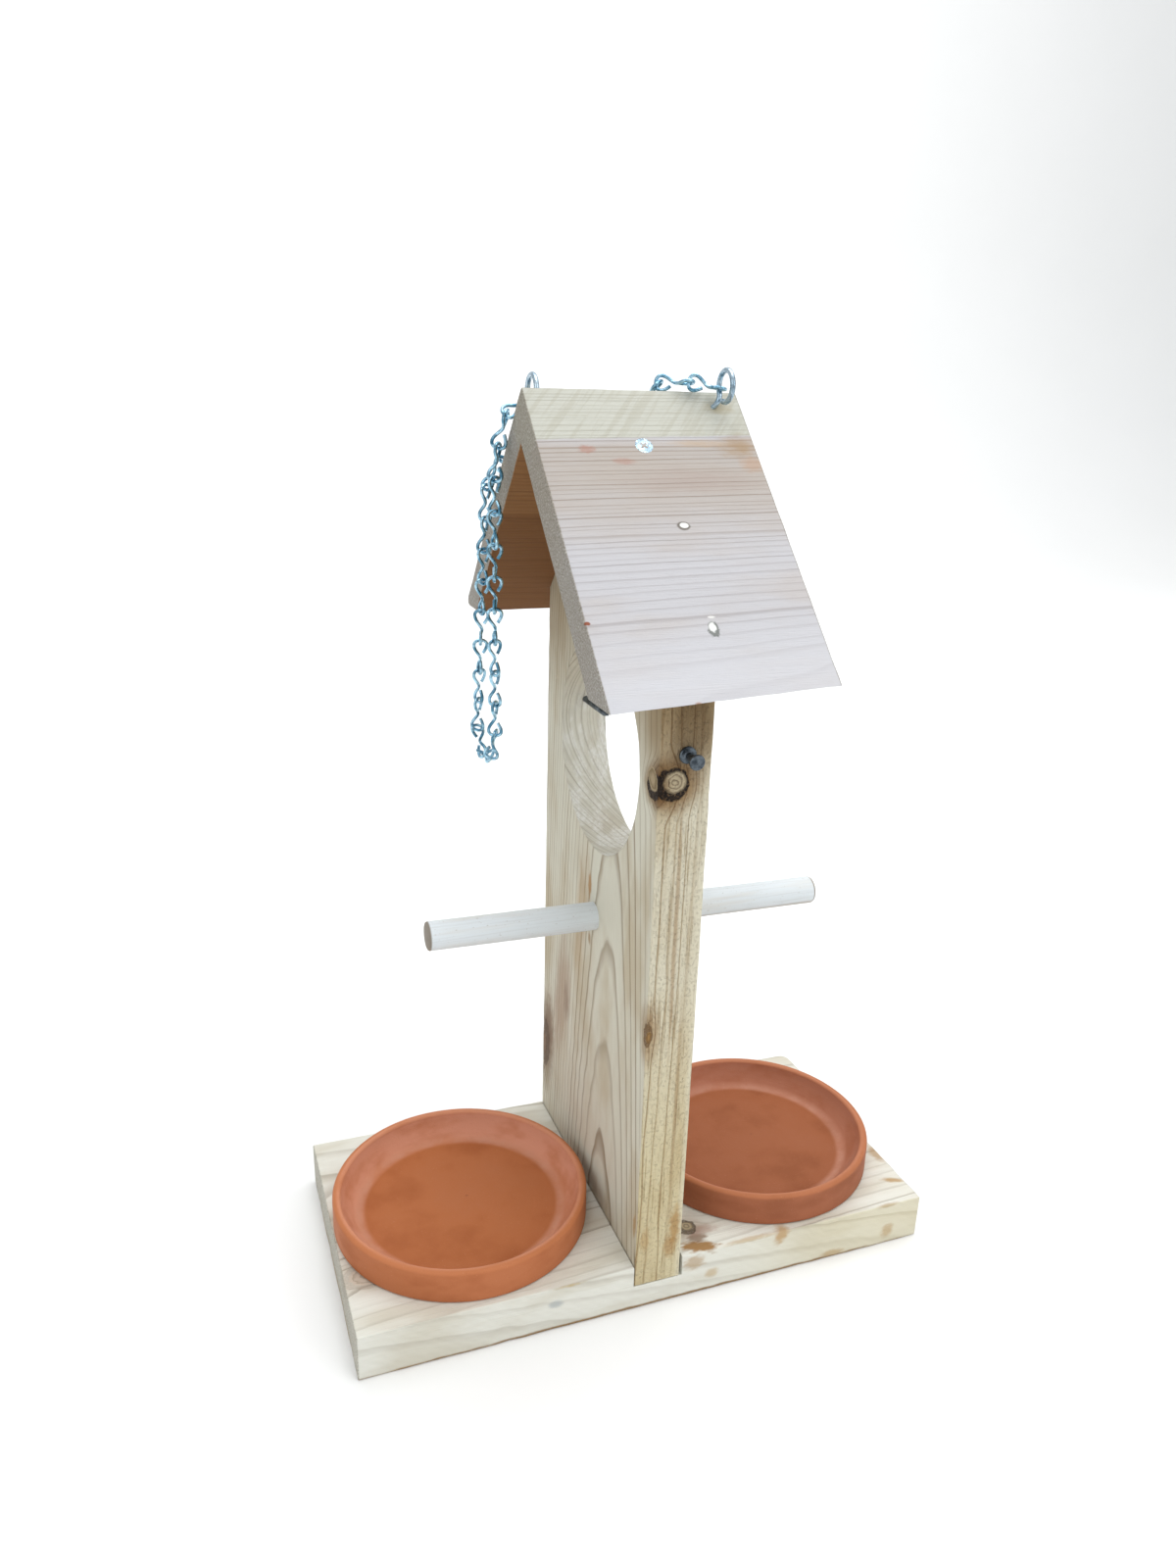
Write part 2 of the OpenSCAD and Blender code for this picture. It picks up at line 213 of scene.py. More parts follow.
def addRod(name, diameter, low, high, matrix, sides=64):
    bpy.ops.mesh.primitive_cylinder_add(vertices=sides, radius=diameter / 2 * mm,
                                        depth=(high - low) * mm,
                                        location=(0, 0, (low + high) / 2 * mm))
    rod = bpy.context.object
    rod.name = name
    settle(rod)
    placeBy(rod, matrix)
    return rod


def smooth(piece, degrees=35):
    only(piece)
    bpy.ops.object.shade_smooth_by_angle(angle=radians(degrees))


def turnProfile(name, profile, sides):  # profile holds (radius, height) in mm, first to last face
    radius, height = profile[0]
    bpy.ops.mesh.primitive_circle_add(vertices=sides, radius=radius * mm, fill_type="NGON",
                                      location=(0, 0, height * mm))
    piece = bpy.context.object
    piece.name = name
    settle(piece)
    editOn(piece)
    bpy.ops.mesh.select_mode(type="FACE")
    bpy.ops.mesh.select_all(action="SELECT")
    for nextRadius, nextHeight in profile[1:]:
        bpy.ops.mesh.extrude_region_move(
            TRANSFORM_OT_translate={"value": (0, 0, (nextHeight - height) * mm)})
        bpy.ops.transform.resize(value=(nextRadius / radius, nextRadius / radius, 1))
        radius, height = nextRadius, nextHeight
    bpy.ops.mesh.select_mode(type="VERT")
    editOff()
    faceOutward(piece)
    return piece


def bendWire(name, points, diameter, fineness=3):  # a round wire along points in metres
    bpy.ops.curve.primitive_nurbs_path_add()
    wire = bpy.context.object
    wire.name = name
    curve = wire.data
    curve.splines.clear()
    spline = curve.splines.new("POLY")
    spline.points.add(len(points) - 1)
    for place, point in zip(spline.points, points):
        place.co = (*point, 1)
    curve.dimensions = "3D"
    curve.bevel_depth = diameter / 2 * mm
    curve.bevel_resolution = fineness
    curve.use_fill_caps = True
    only(wire)
    bpy.ops.object.convert(target="MESH")
    wire = bpy.context.object
    editOn(wire)
    bpy.ops.mesh.select_all(action="SELECT")
    bpy.ops.mesh.remove_doubles(threshold=0.01 * mm)
    editOff()
    faceOutward(wire)
    smooth(wire, 50)
    return wire


def joinPieces(name, pieces):
    bpy.ops.object.select_all(action="DESELECT")
    for piece in pieces:
        piece.select_set(True)
    bpy.context.view_layer.objects.active = pieces[0]
    bpy.ops.object.join()
    whole = bpy.context.object
    whole.name = name
    return whole


def copiesAt(model, name, places):  # a copy of the model at each place, joined to one piece
    copies = []
    for i, place in enumerate(places):
        copies.append(copyOf(model, f"{name}{i}"))
        placeBy(copies[-1], place)
    whole = joinPieces(name, copies) if len(copies) > 1 else copies[0]
    whole.name = name
    return whole


def finishPiece(piece, material, node, body):
    piece.data.materials.clear()
    piece.data.materials.append(material)
    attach(piece, body)
    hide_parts(node)
    uses = [0] * len(piece.data.edges)
    for loop in piece.data.loops:
        uses[loop.edge_index] += 1
    print(f"{piece.name}: {len(piece.data.polygons)} faces, {sum(n != 2 for n in uses)} open edges")


# Shader helpers

def hexColour(code):
    shares = [int(code[i:i + 2], 16) / 255 for i in (1, 3, 5)]
    return [c / 12.92 if c <= 0.04045 else ((c + 0.055) / 1.055) ** 2.4 for c in shares] + [1]


def addNode(tree, kind, settings=None, links=None, out=0):
    # settings are the node's own choices. links fill its sockets, by name or number or in their order,
    # each with an output, a number, a vector or a colour code.
    node = tree.nodes.new("ShaderNode" + kind)
    for key, value in (settings or {}).items():
        if key == "stops":
            for i, (at, colour) in enumerate(value):
                stop = node.color_ramp.elements[i] if i < 2 else node.color_ramp.elements.new(at)
                stop.position = at
                stop.color = hexColour(colour) if isinstance(colour, str) else [colour] * 3 + [1]
        else:
            setattr(node, key, value)
    for key, value in (links if isinstance(links, dict) else dict(enumerate(links or ()))).items():
        if isinstance(value, bpy.types.NodeSocket):
            tree.links.new(value, node.inputs[key])
        else:
            node.inputs[key].default_value = hexColour(value) if isinstance(value, str) else value
    return node.outputs[out] if node.outputs else node


def startMaterial(name, origin=(0, 0, 0), turn=(0, 0, 0)):
    material = bpy.data.materials.new(name)
    material.use_nodes = True
    tree = material.node_tree
    tree.nodes.clear()
    return material, tree, pieceSpace(tree, origin, turn)


def finishMaterial(material, colour, rough, height, depth, metallic=0.0, specular=0.5):
    # rough is an output, the two values it changes between, and the roughness at each
    tree = material.node_tree
    bump = addNode(tree, "Bump", None, {"Strength": 1.0, "Distance": depth * mm, "Height": height})
    shader = addNode(tree, "BsdfPrincipled", None, {
        "Base Color": colour, "Roughness": addNode(tree, "MapRange", None, rough), "Normal": bump,
        "Metallic": metallic, "Specular IOR Level": specular})
    addNode(tree, "OutputMaterial", None, {"Surface": shader})
    return material


def pieceSpace(tree, origin=(0, 0, 0), turn=(0, 0, 0)):  # metres along the piece's own axes
    return addNode(tree, "Mapping", {"vector_type": "TEXTURE"}, {
        "Vector": addNode(tree, "TexCoord", out="Object"), "Location": Vector(origin) * mm,
        "Rotation": [radians(a) for a in turn]})


def unevenness(tree, space, grain, detail, seed, out="Fac"):  # noise with lumps of grain mm
    scaled = addNode(tree, "Mapping", None, {
        "Vector": space, "Location": (seed, seed * 0.7, seed * 1.3), "Scale": [1 / (g * mm) for g in grain]})
    return addNode(tree, "TexNoise", None, {
        "Vector": scaled, "Scale": 1.0, "Detail": detail, "Roughness": 0.55}, out)


def cover(tree, *parts):
    # How far a coat shows: all parts multiplied. A part is a number, an output, or a soft limit: the
    # output, the two values it changes between, and what it gives at each where that isn't 0 and 1.
    shown = None
    for part in parts:
        if isinstance(part, tuple):
            part = addNode(tree, "MapRange", {"interpolation_type": "SMOOTHSTEP"}, part)
        shown = part if shown is None else addNode(tree, "Math", {"operation": "MULTIPLY"}, (shown, part))
    return shown


def buildUp(tree, value, *parts):  # a height, distance or mask, and what the parts together add to it
    return addNode(tree, "Math", {"operation": "ADD"}, (value, cover(tree, *parts)))


def paint(tree, colour, *coats, mode="MIX"):  # a coat is a colour and the parts that let it show
    for over, *parts in coats:
        colour = addNode(tree, "Mix", {"data_type": "RGBA", "blend_type": mode},
                         {0: cover(tree, *parts), 6: colour, 7: over}, 2)
    return colour


def distanceFrom(tree, space, middle, keep):  # keep is 1 for each axis that counts, else 0
    offset = [-place * mm * counts for place, counts in zip(middle, keep)]
    apart = addNode(tree, "VectorMath", {"operation": "MULTIPLY_ADD"}, (space, keep, offset))
    return addNode(tree, "VectorMath", {"operation": "LENGTH"}, (apart,), "Value")


def mark(at, size, colour, amount, fray=0.5, **more):  # one stain, dot or scrape, sizes in mm
    return {"at": at, "size": size, "colour": colour, "amount": amount, "fray": fray, **more}


def branch(at, size, rings, colours, inner, **more):  # a knot, inner is its heart
    heart, ring, bark, glow = colours
    return {"at": at, "size": size, "rings": rings, "heart": heart, "ringColour": ring, "barkColour": bark,
            "glowColour": glow, "inner": {"at": inner[0], "size": inner[1]}, **more}


def spotDistance(tree, space, spot):  # 0 at the spot's middle and 1 at its frayed edge
    fray = spot.get("fray", 0.5)
    local = addNode(tree, "Mapping", {"vector_type": "TEXTURE"}, {
        "Vector": space, "Location": Vector(spot["at"]) * mm, "Scale": Vector(spot["size"]) * mm,
        "Rotation": [radians(a) for a in spot.get("turn", (0, 0, 0))]})
    lumps = unevenness(tree, space, spot.get("grain", (4, 2, 2)), 3.0, spot["at"][0] * 0.37, "Color")
    ragged = addNode(tree, "VectorMath", {"operation": "MULTIPLY_ADD"}, (lumps, (fray,) * 3, local))
    centred = addNode(tree, "VectorMath", {"operation": "SUBTRACT"}, (ragged, (fray / 2,) * 3))
    return addNode(tree, "VectorMath", {"operation": "LENGTH"}, (centred,), "Value")


def spots(tree, space, colour, marks):  # stains, filler dots and scrapes, one after another
    for each in marks:
        soft = (spotDistance(tree, space, each), 1.0, 1.0 - each.get("soft", 0.7), 0.0, each["amount"])
        colour = paint(tree, colour, (each["colour"], soft), mode=each.get("mode", "MIX"))
    return colour


def growthRings(tree, space, ring, bulges=()):
    # The tree's year rings as they are cut by the board: x runs along the grain
    waves = unevenness(tree, space, ring["wave"], 2.0, ring["seed"], "Color")
    wobble = 2 * ring["wobble"] * mm
    moved = addNode(tree, "VectorMath", {"operation": "MULTIPLY_ADD"}, (waves, (0, wobble, wobble), space))
    radius = distanceFrom(tree, moved, (0, *ring["pith"]), (0, 1, 1))
    radius = buildUp(tree, radius, addNode(tree, "SeparateXYZ", None, (moved,)), ring["taper"])
    for bulge in bulges:  # the grain flows round a knot
        away = spotDistance(tree, space, {**bulge, "fray": 0.2})
        radius = buildUp(tree, radius, (away, 2.6, 0.4, 0.0, bulge["push"] * mm))
    count = addNode(tree, "Math", {"operation": "DIVIDE"}, (radius, ring["width"] * mm))
    drift = addNode(tree, "TexNoise", {"noise_dimensions": "1D"}, {"W": count, "Scale": 0.45, "Detail": 1.0})
    count = buildUp(tree, count, drift, ring.get("drift", 1.3))
    share = addNode(tree, "Math", {"operation": "FRACT"}, (count,))
    year = addNode(tree, "Math", {"operation": "FLOOR"}, (count,))
    each = addNode(tree, "TexWhiteNoise", {"noise_dimensions": "1D"}, {"W": year})
    line = addNode(tree, "ValToRGB", {"stops": [(0.0, 0.3), (1.0, 0.6), (0.05, 0.0), (ring["start"], 0.04),
                                                (0.9, 0.8), (0.96, 1.0)]}, (share,))
    return cover(tree, line, (each, 0.0, 1.0, ring["least"], 1.0))


def knot(tree, space, colour, height, limb):
    # A cut branch: the brown glow, the cracked bark and, off its middle, the pale ringed heart
    away = spotDistance(tree, space, limb)
    glow = (away, limb["glow"], 0.95, 0.0, limb["halo"])
    colour = paint(tree, colour, (limb["glowColour"], glow), mode="MULTIPLY")
    cracks = unevenness(tree, space, limb.get("cracks", (1.1, 1.1, 1.1)), 3.0, 17)
    bark = cover(tree, (away, 1.05, 0.95), limb.get("barkAmount", 1.0), (cracks, 0.3, 0.52, 0.45, 1.0))
    heart = spotDistance(tree, space, {**limb, **limb["inner"]})
    within = cover(tree, (heart, 1.08, 0.92))
    turns = addNode(tree, "Math", {"operation": "FRACT"}, (cover(tree, heart, limb["rings"]),))
    colour = paint(tree, colour, (limb["barkColour"], bark), (limb["heart"], within),
                   (limb["ringColour"], within, (turns, 0.35, 0.95, 0.0, 0.8)))
    return colour, buildUp(tree, height, bark, (heart, 0.92, 1.08, 0.0, -1.6))


def fibres(tree, space, seed):
    # Torn wood fibres 0.5 mm wide: real ones are finer, and too fine to show here
    coarse = unevenness(tree, space, (26, 0.55, 0.55), 3.0, seed)
    fine = unevenness(tree, space, (6, 0.3, 0.3), 2.0, seed + 3)
    return buildUp(tree, cover(tree, coarse, 0.7), fine, 0.3)


def plankFinish(name, look, dress):
    # Pine that has stood outdoors: dull, silvered, with raised fibres, brown year rings, knots and stains.
    # dress adds what only one board has, and gets and gives the colour and the height.
    place = look.get("origin", (0, 0, 0)), look.get("turn", (0, 0, 0))
    material, tree, space = startMaterial(name, *place)
    knots = look.get("knots", ())
    late = growthRings(tree, space, look["ring"], knots)
    axes = addNode(tree, "SeparateXYZ", None, (space,)).node.outputs
    if "edgeRing" in look:  # the narrow faces cut other rings than the wide ones
        edge = growthRings(tree, space, look["edgeRing"], knots)
        side = addNode(tree, "Math", {"operation": "ABSOLUTE"}, (axes[1],))
        onEdge = cover(tree, (side, (plankHalf - 3) * mm, (plankHalf - 1) * mm))
        late = addNode(tree, "Mix", None, {0: onEdge, 2: late, 3: edge})
    grain = fibres(tree, space, look["seed"])
    blotch = unevenness(tree, space, (70, 22, 22), 3.0, look["seed"] + 7)
    colour = paint(tree, look["early"], (look["blotch"], (blotch, 0.42, 0.68, 0.0, look["blotches"])),
                   (look["late"], late, look["contrast"]),
                   (look["streak"], (grain, 0.52, 0.75, 0.0, look["streaks"])))
    height = buildUp(tree, grain, late, 0.45)
    wood = {"space": space, "axes": axes, "late": late, "grain": grain}
    colour, height = dress(tree, wood, colour, height)
    colour = spots(tree, space, colour, look["marks"])
    for limb in knots:
        colour, height = knot(tree, space, colour, height, limb)
    rough = (grain, 0.3, 0.8, 0.72, 0.92)
    return finishMaterial(material, colour, rough, height, look["relief"], specular=0.25)


def endGrain(tree, axes, colour, height, ends, code, lean=0.0):
    # The sawn ends along x, darker and speckled by the open pores
    low, high = ends
    square = buildUp(tree, axes[0], axes[1], -lean)
    before = cover(tree, (square, (low + 0.8) * mm, (low + 0.3) * mm))
    after = cover(tree, (axes[0], (high - 0.8) * mm, (high - 0.3) * mm))
    onEnd = addNode(tree, "Math", {"operation": "MAXIMUM"}, (before, after))
    pores = unevenness(tree, pieceSpace(tree), (0.8, 0.8, 0.8), 2.0, 11)  # real ones are too fine to show
    colour = paint(tree, colour, (code, onEnd, 0.75), ("#746d5e", onEnd, (pores, 0.48, 0.62, 0.0, 0.55)),
                   ("#c9c5b9", onEnd, (pores, 0.42, 0.3, 0.0, 0.6)))
    return colour, buildUp(tree, height, onEnd, pores)


def sawMarks(tree, space, height, turn, spacing, mask, depth):
    # The shallow steps that saw teeth leave across the grain
    turned = addNode(tree, "Mapping", None, {"Vector": space, "Rotation": (0, 0, radians(turn))})
    teeth = addNode(tree, "TexWave", None, {
        "Vector": turned, "Scale": pi / (10 * spacing * mm), "Distortion": 2.5, "Detail": 2.0,
        "Detail Scale": 1.5}, "Fac")
    return buildUp(tree, height, teeth, mask, depth)


# The base board

# Sawn pine, years in the rain: dull and silvery, broad brown rings, orange where wet has stayed, and a
# painted contact shadow along its foot
baseLook = {
    "early": "#e0dfd5", "late": "#8f8371", "blotch": "#cfcaba", "streak": "#bab3a2",
    "contrast": 0.6, "blotches": 0.9, "streaks": 0.35, "seed": 2.0, "relief": 0.4,
    "ring": {"pith": (40, -30), "width": 5.0, "taper": 0.05, "wobble": 3.4, "wave": (120, 34, 34),
             "start": 0.72, "seed": 4.0, "least": 0.2},
    "knots": [
        branch((20.5, -54, 24.5), (5.2, 5.2, 5), 2, ("#a39376", "#6e6150", "#5b4f3d", "#b89c88"),
               ((21.2, -53.4, 24.5), (3.2, 3.2, 4)), fray=0.6, halo=0.5, push=5, barkAmount=0.85, glow=2.8),
        branch((-138, -36, 24.5), (12, 8, 8), 2.5, ("#c9bcab", "#ab9d8a", "#a6998a", "#cdbfae"),
               ((-137, -36, 24.5), (9.5, 6, 8)), fray=0.5, halo=0.35, push=6, barkAmount=0.4, glow=2.0),
    ],
    "marks": [
        mark((21, -68.5, 24.5), (12, 4.5, 5), "#9a7240", 0.95, 1.2, grain=(6, 2.2, 2.5),
             turn=(0, 0, -14), soft=0.5),
        mark((23, -62.5, 24.5), (7, 4.5, 4), "#8a7059", 0.8, 1.2, grain=(5, 2, 2.5), soft=0.6),
        mark((17, -72.5, 19), (8, 4, 6), "#ab8a5c", 0.6, 0.9),
        mark((27, -58, 24.5), (12, 5, 4), "#b39a8c", 0.7, 0.8),
        mark((66, -73, 23), (5, 9, 9), "#b58e58", 0.75, 0.7, turn=(0, 25, 0)),
        mark((48, -72, 24.5), (20, 2.5, 2), "#b79a6c", 0.6, 0.7),
        mark((130, -72.5, 8), (5, 4, 6), "#b3925f", 0.6, 0.7, turn=(0, 25, 0)),
        mark((97, -72.5, 2.5), (9, 4, 3), "#b3925f", 0.6, 0.7),
        mark((129, -72.5, 24.5), (9, 2, 2), "#a8895b", 0.6, 0.6),
        mark((27, -72.5, 10), (5, 4, 4), "#bda273", 0.6, 0.6),
        mark((147, -33, 24), (5, 10, 5), "#a8875a", 0.7, 0.7),
        mark((143, -56, 24.5), (9, 2.5, 3), "#b08c58", 0.8, 0.7, turn=(0, 0, -20)),
        mark((-48, -73, 24.3), (11, 1.6, 2), "#b79a5e", 0.8, 0.5),
        mark((-55, -72.5, 15), (5, 3, 3), "#9fa6a8", 0.6, 0.6),
        mark((-127, -72.5, 0), (10, 3, 2), "#a8875a", 0.8, 0.5),
        # Painted contact shadow: a thin brown line along the foot of the front and of the back
        mark((0, -72.5, 0), (190, 5, 2.3), "#8a6a3e", 0.9, 0.6, grain=(9, 2, 2), soft=0.4),
        mark((0, 72.5, 0), (190, 5, 2.3), "#8a6a3e", 0.9, 0.6, grain=(9, 2, 2), soft=0.4),
        mark((-149, 0, 1), (2, 80, 4), "#a58f6c", 0.6, 0.9, grain=(4, 9, 4), soft=0.5),
        mark((149, 0, 8), (2, 76, 14), "#9d8259", 0.55, 0.9, grain=(4, 9, 4), soft=0.8),
    ],
}


def dressBase(tree, wood, colour, height):
    axes = wood["axes"]
    ends = [end.x for end in boardBox["base_board"]]
    colour, height = endGrain(tree, axes, colour, height, ends, "#b9b5a8")
    # The front edge is yellower at the right, and shows the steps of the saw
    front = cover(tree, (axes[1], (0.7 - plankHalf) * mm, (0.2 - plankHalf) * mm))
    colour = paint(tree, colour, ("#d5cba9", front, (axes[0], 10 * mm, 120 * mm, 0.0, 0.55)))
    standing = addNode(tree, "Mapping", {"vector_type": "TEXTURE"},
                       {"Vector": wood["space"], "Rotation": (radians(90), 0, 0)})
    return colour, sawMarks(tree, standing, height, -55, 4.2, front, 0.28)


def makeBase():
    board = {"corner": 6.0, "notchDepth": 11.0, "gapLeft": 0.3, "gapRight": 1.4,
             "wear": {"round": 0.9, "length": 9, "depth": 0.9}}
    low, high = boardBox["base_board"]
    base = addBlock("baseBoard", low, high)
    pickEdges(base, lambda end: abs(end.x - high.x) < 0.1 and abs(end.y - high.y) < 0.1)
    roundOff(board["corner"], 6)  # the back right corner
    sliceAlong(base, (0, 0, 0), (1, 0, 0), 7 * mm)
    sliceAlong(base, (0, 0, 0), (0, 1, 0), 9 * mm)
    wearEdges(base, board["wear"])
    left = house["uprightX"] - house["uprightT"] / 2 - board["gapLeft"]
    right = house["uprightX"] + house["uprightT"] / 2 + board["gapRight"]
    notch = addBlock("notch", (left, low.y - 5, high.z - board["notchDepth"]),
                     (right, high.y + 5, high.z + 5))
    cutAway(base, notch)
    smooth(base)
    finishPiece(base, plankFinish("agedPineSawn", baseLook, dressBase), "base_board", "house")


# The upright board

# Planed pine in the roof's shelter: dull warm grey, narrow dark rings, black knots with pale hearts
uprightLook = {
    "early": "#d2cfbe", "late": "#7d6446", "blotch": "#bfb49b", "streak": "#aa9b7e",
    "contrast": 0.85, "blotches": 0.9, "streaks": 0.2, "seed": 5.0, "relief": 0.5,
    "turn": (0, -90, 0),
    "ring": {"pith": (-22, 95.1), "width": 2.5, "taper": 0.045, "wobble": 0.7, "wave": (120, 26, 26),
             "start": 0.74, "seed": 1.0, "least": 0.45, "drift": 0.0},
    "edgeRing": {"pith": (-40, -60), "width": 5.6, "taper": 0.012, "wobble": 2.4, "wave": (80, 20, 12),
                 "start": 0.78, "seed": 9.0, "least": 0.45, "drift": 2.0},
    "knots": [
        branch((271.2, -72.5, 8.6), (7.4, 5.0, 7.6), 3.0, ("#b3a487", "#6b5c46", "#241b14", "#ab8a5e"),
               ((272.2, -72.5, 7.6), (4.9, 5.0, 5.2)), fray=0.5, grain=(3.4, 3, 3.4), halo=0.85,
               push=4.5, glow=2.4),
        branch((269.6, -67.4, 15.0), (6.0, 6.4, 4.0), 1.2, ("#a39173", "#7a6849", "#2b2017", "#ab8a5e"),
               ((272.4, -66.6, 15.0), (5.6, 4.4, 4.0)), fray=0.6, grain=(3.4, 3, 3.4), halo=0.7,
               push=4.5, glow=2.0, turn=(0, 0, 32)),
        branch((153, -72.0, 14.6), (6.5, 2.6, 2.6), 1.2, ("#977445", "#6b5236", "#6f5233", "#b38a55"),
               ((152, -72.0, 13.6), (3.0, 1.4, 1.2)), fray=0.9, halo=0.6, push=2.4, barkAmount=0.8, glow=3.4),
        branch((68, 68, 14.8), (15, 7, 4), 2.2, ("#8d7560", "#6d5846", "#5f4b3b", "#a98d76"),
               ((66, 70, 14.8), (7, 3.5, 4)), fray=0.8, halo=0.6, push=5, barkAmount=0.75,
               glow=2.6, cracks=(5, 3, 3)),
    ],
    "marks": [
        mark((44, -72.5, -5.0), (17, 4, 4.2), "#a87f45", 0.75, 1.0),
        mark((40, -72.5, 10.5), (10, 4, 3.2), "#b08c58", 0.5, 1.0),
        mark((33, -72.5, -2.6), (9, 4, 4.5), "#a98350", 0.7, 0.8),
        mark((47, -69, 14.5), (10, 2.5, 2), "#a8824e", 0.7, 0.7),
        # Painted shade under the roof at the top of the front edge
        mark((296, -72.5, 0), (28, 5, 15), "#9a8462", 0.6, 0.7, grain=(18, 4, 4), mode="MULTIPLY"),
        mark((194, 3.5, 15), (10, 3, 3), "#a97b49", 0.9, 0.8),
        mark((166, 2, 15), (5, 3, 2), "#9a7850", 0.7, 0.7),
        mark((175, 14, 15), (55, 12, 4), "#b39a76", 0.65, 0.9, grain=(26, 7, 6), turn=(0, 0, -8)),
        mark((112, 42, 15), (50, 16, 4), "#ab9580", 0.7, 0.9, grain=(24, 8, 6), turn=(0, 0, -10)),
        mark((112, 34, 15), (16, 6, 4), "#8f7866", 0.6, 0.9, grain=(9, 4, 6)),
        mark((80, 62, 15), (30, 11, 4), "#927a64", 0.75, 0.8),
        mark((200, -72.5, 3.5), (90, 4, 1.6), "#9c7f5c", 0.6, 0.7, grain=(26, 2, 2)),
        mark((110, -72.5, -1.5), (80, 4, 1.2), "#a48a66", 0.5, 0.7, grain=(26, 2, 2)),
    ],
}


def dressUpright(tree, wood, colour, height):
    space, axes = wood["space"], wood["axes"]
    # The hole's wall is rough: the saw has torn pale fibres out of it. Its lower half, which faces up, is
    # painted paler still as painted light
    away = distanceFrom(tree, space, (house["holeZ"], house["holeY"], 0), (1, 1, 0))
    radius = house["holeD"] / 2
    wall = cover(tree, (away, (radius + 0.45) * mm, (radius + 0.15) * mm), (away, 40 * mm, 45 * mm))
    fuzz = unevenness(tree, space, (4, 1.5, 1.5), 5.0, 21)
    patch = unevenness(tree, space, (20, 14, 9), 2.0, 33)
    groove = growthRings(tree, space, {**uprightLook["ring"], "width": 3.2, "seed": 6.0})
    height = buildUp(tree, height, wall, fuzz, 1.6)
    # The front edge is yellower towards its foot, with dark veins and one pale corner
    edge = cover(tree, (axes[1], (0.9 - plankHalf) * mm, (0.2 - plankHalf) * mm))
    veins = unevenness(tree, space, (45, 1.3, 1.3), 3.0, 61)
    colour = paint(tree, colour, ("#cfccbf", wall, 0.5),
                   # pale torn fibres, and painted light on the wall's lower, upward-facing half
                   ("#e6e5de", wall, (axes[0], 290 * mm, 262 * mm), (patch, 0.42, 0.6, 0.15, 1.0),
                    (fuzz, 0.38, 0.62, 0.3, 0.9)),
                   ("#8a8069", wall, groove, 0.5), ("#ecd3a0", edge, 0.16),
                   ("#97805c", edge, (veins, 0.54, 0.68, 0.0, 0.6)))
    colour = paint(tree, colour, ("#f8f1dd", edge, (axes[0], 200 * mm, 60 * mm)), mode="MULTIPLY")
    colour = paint(tree, colour, ("#e3ddc6", edge, (axes[2], -5 * mm, -8.5 * mm, 0.0, 0.5)))
    # The top is darkened with painted shade under the roof, most of all at the front
    shade = cover(tree, (axes[0], 255 * mm, 330 * mm, 0.0, 0.6))
    shade = buildUp(tree, shade, (axes[1], -44 * mm, -66 * mm), (axes[0], 258 * mm, 292 * mm, 0.0, 0.5))
    colour = paint(tree, colour, ("#b9a384", shade), mode="MULTIPLY")
    # The narrow faces are left as sawn
    pits = unevenness(tree, space, (1.6, 1.1, 1.1), 2.0, 41)
    side = addNode(tree, "Math", {"operation": "ABSOLUTE"}, (axes[1],))
    sawn = (side, (plankHalf - 1.5) * mm, (plankHalf - 0.3) * mm)
    return colour, buildUp(tree, height, sawn, (pits, 0.5, 0.75))


def slopeFrame(back):  # x along the ridge, y down the slope, z out of the wood
    c, s = cos(radians(house["pitch"])), sin(radians(house["pitch"]))
    way = 1 if back else -1
    columns = Matrix(((way, 0, 0), (0, way * c, way * s), (0, -s, c)))
    return Matrix.Translation((0, 0, house["ridgeZ"] * mm)) @ columns.to_4x4()


nail = {"shank": 3.3, "length": 56.0, "point": 5.0, "head": 7.6, "headT": 1.5, "neck": 9.0,
        "outerHead": 6.8, "x": house["uprightX"] + 0.3, "frontZ": 284.0, "frontTilt": 3.0, "backZ": 276.5,
        "rings": 4, "ringStart": -12.0, "ringPitch": 1.6, "ringDepth": 0.12}
frontNail = (Matrix.Translation(vec(nail["x"], -plankHalf, nail["frontZ"]))
             @ Matrix.Rotation(radians(90 + nail["frontTilt"]), 4, "X")
             @ Matrix.Translation(vec(0, 0, nail["head"] / 2 * tan(radians(nail["frontTilt"])))))
backNail = (Matrix.Translation(vec(nail["x"], plankHalf, nail["backZ"]))
            @ Matrix.Rotation(radians(-90), 4, "X"))
perch = {"diameter": 14.0, "length": 205.0, "z": 180.5, "shift": 7.0, "y": -3.5, "fall": 0.85,
         "chamfer": 0.9, "steps": 24}
perchFrame = (Matrix.Translation(vec(house["uprightX"] + perch["shift"], perch["y"],
                                     perch["z"] - perch["shift"] * tan(radians(perch["fall"]))))
              @ Matrix.Rotation(radians(90 + perch["fall"]), 4, "Y"))


def makeUpright():
    board = {"wear": {"round": 0.8, "length": 8, "depth": 0.8}, "slip": 0.1}
    low, high = boardBox["upright_board"]
    upright = addBlock("uprightBoard", low, high)
    for way in (-1, 1):  # the pointed top, cut at the pitch of the roof
        slope = Vector((0, -way * sin(radians(house["pitch"])), -cos(radians(house["pitch"]))))
        planeCut(upright, vec(0, 0, high.z), slope)
    sliceAlong(upright, (0, 0, 0), (0, 0, 1), 8 * mm)
    wearEdges(upright, board["wear"])
    across = (Matrix.Translation(vec(house["uprightX"], house["holeY"], house["holeZ"]))
              @ Matrix.Rotation(radians(90), 4, "Y"))
    reach = house["uprightT"]
    cutAway(upright, addRod("holeSaw", house["holeD"], -reach, reach, across, 160))
    half, slip = perch["length"] / 2, board["slip"]
    cutAway(upright, addRod("bore", perch["diameter"] + slip, -half, half, perchFrame, 48))
    for place in (frontNail, backNail):
        cutAway(upright, addRod("bore", nail["shank"] + slip, -nail["length"], 2, place, 24))
    smooth(upright)
    finishPiece(upright, plankFinish("agedPinePlaned", uprightLook, dressUpright), "upright_board",
                "house")


# The roof boards

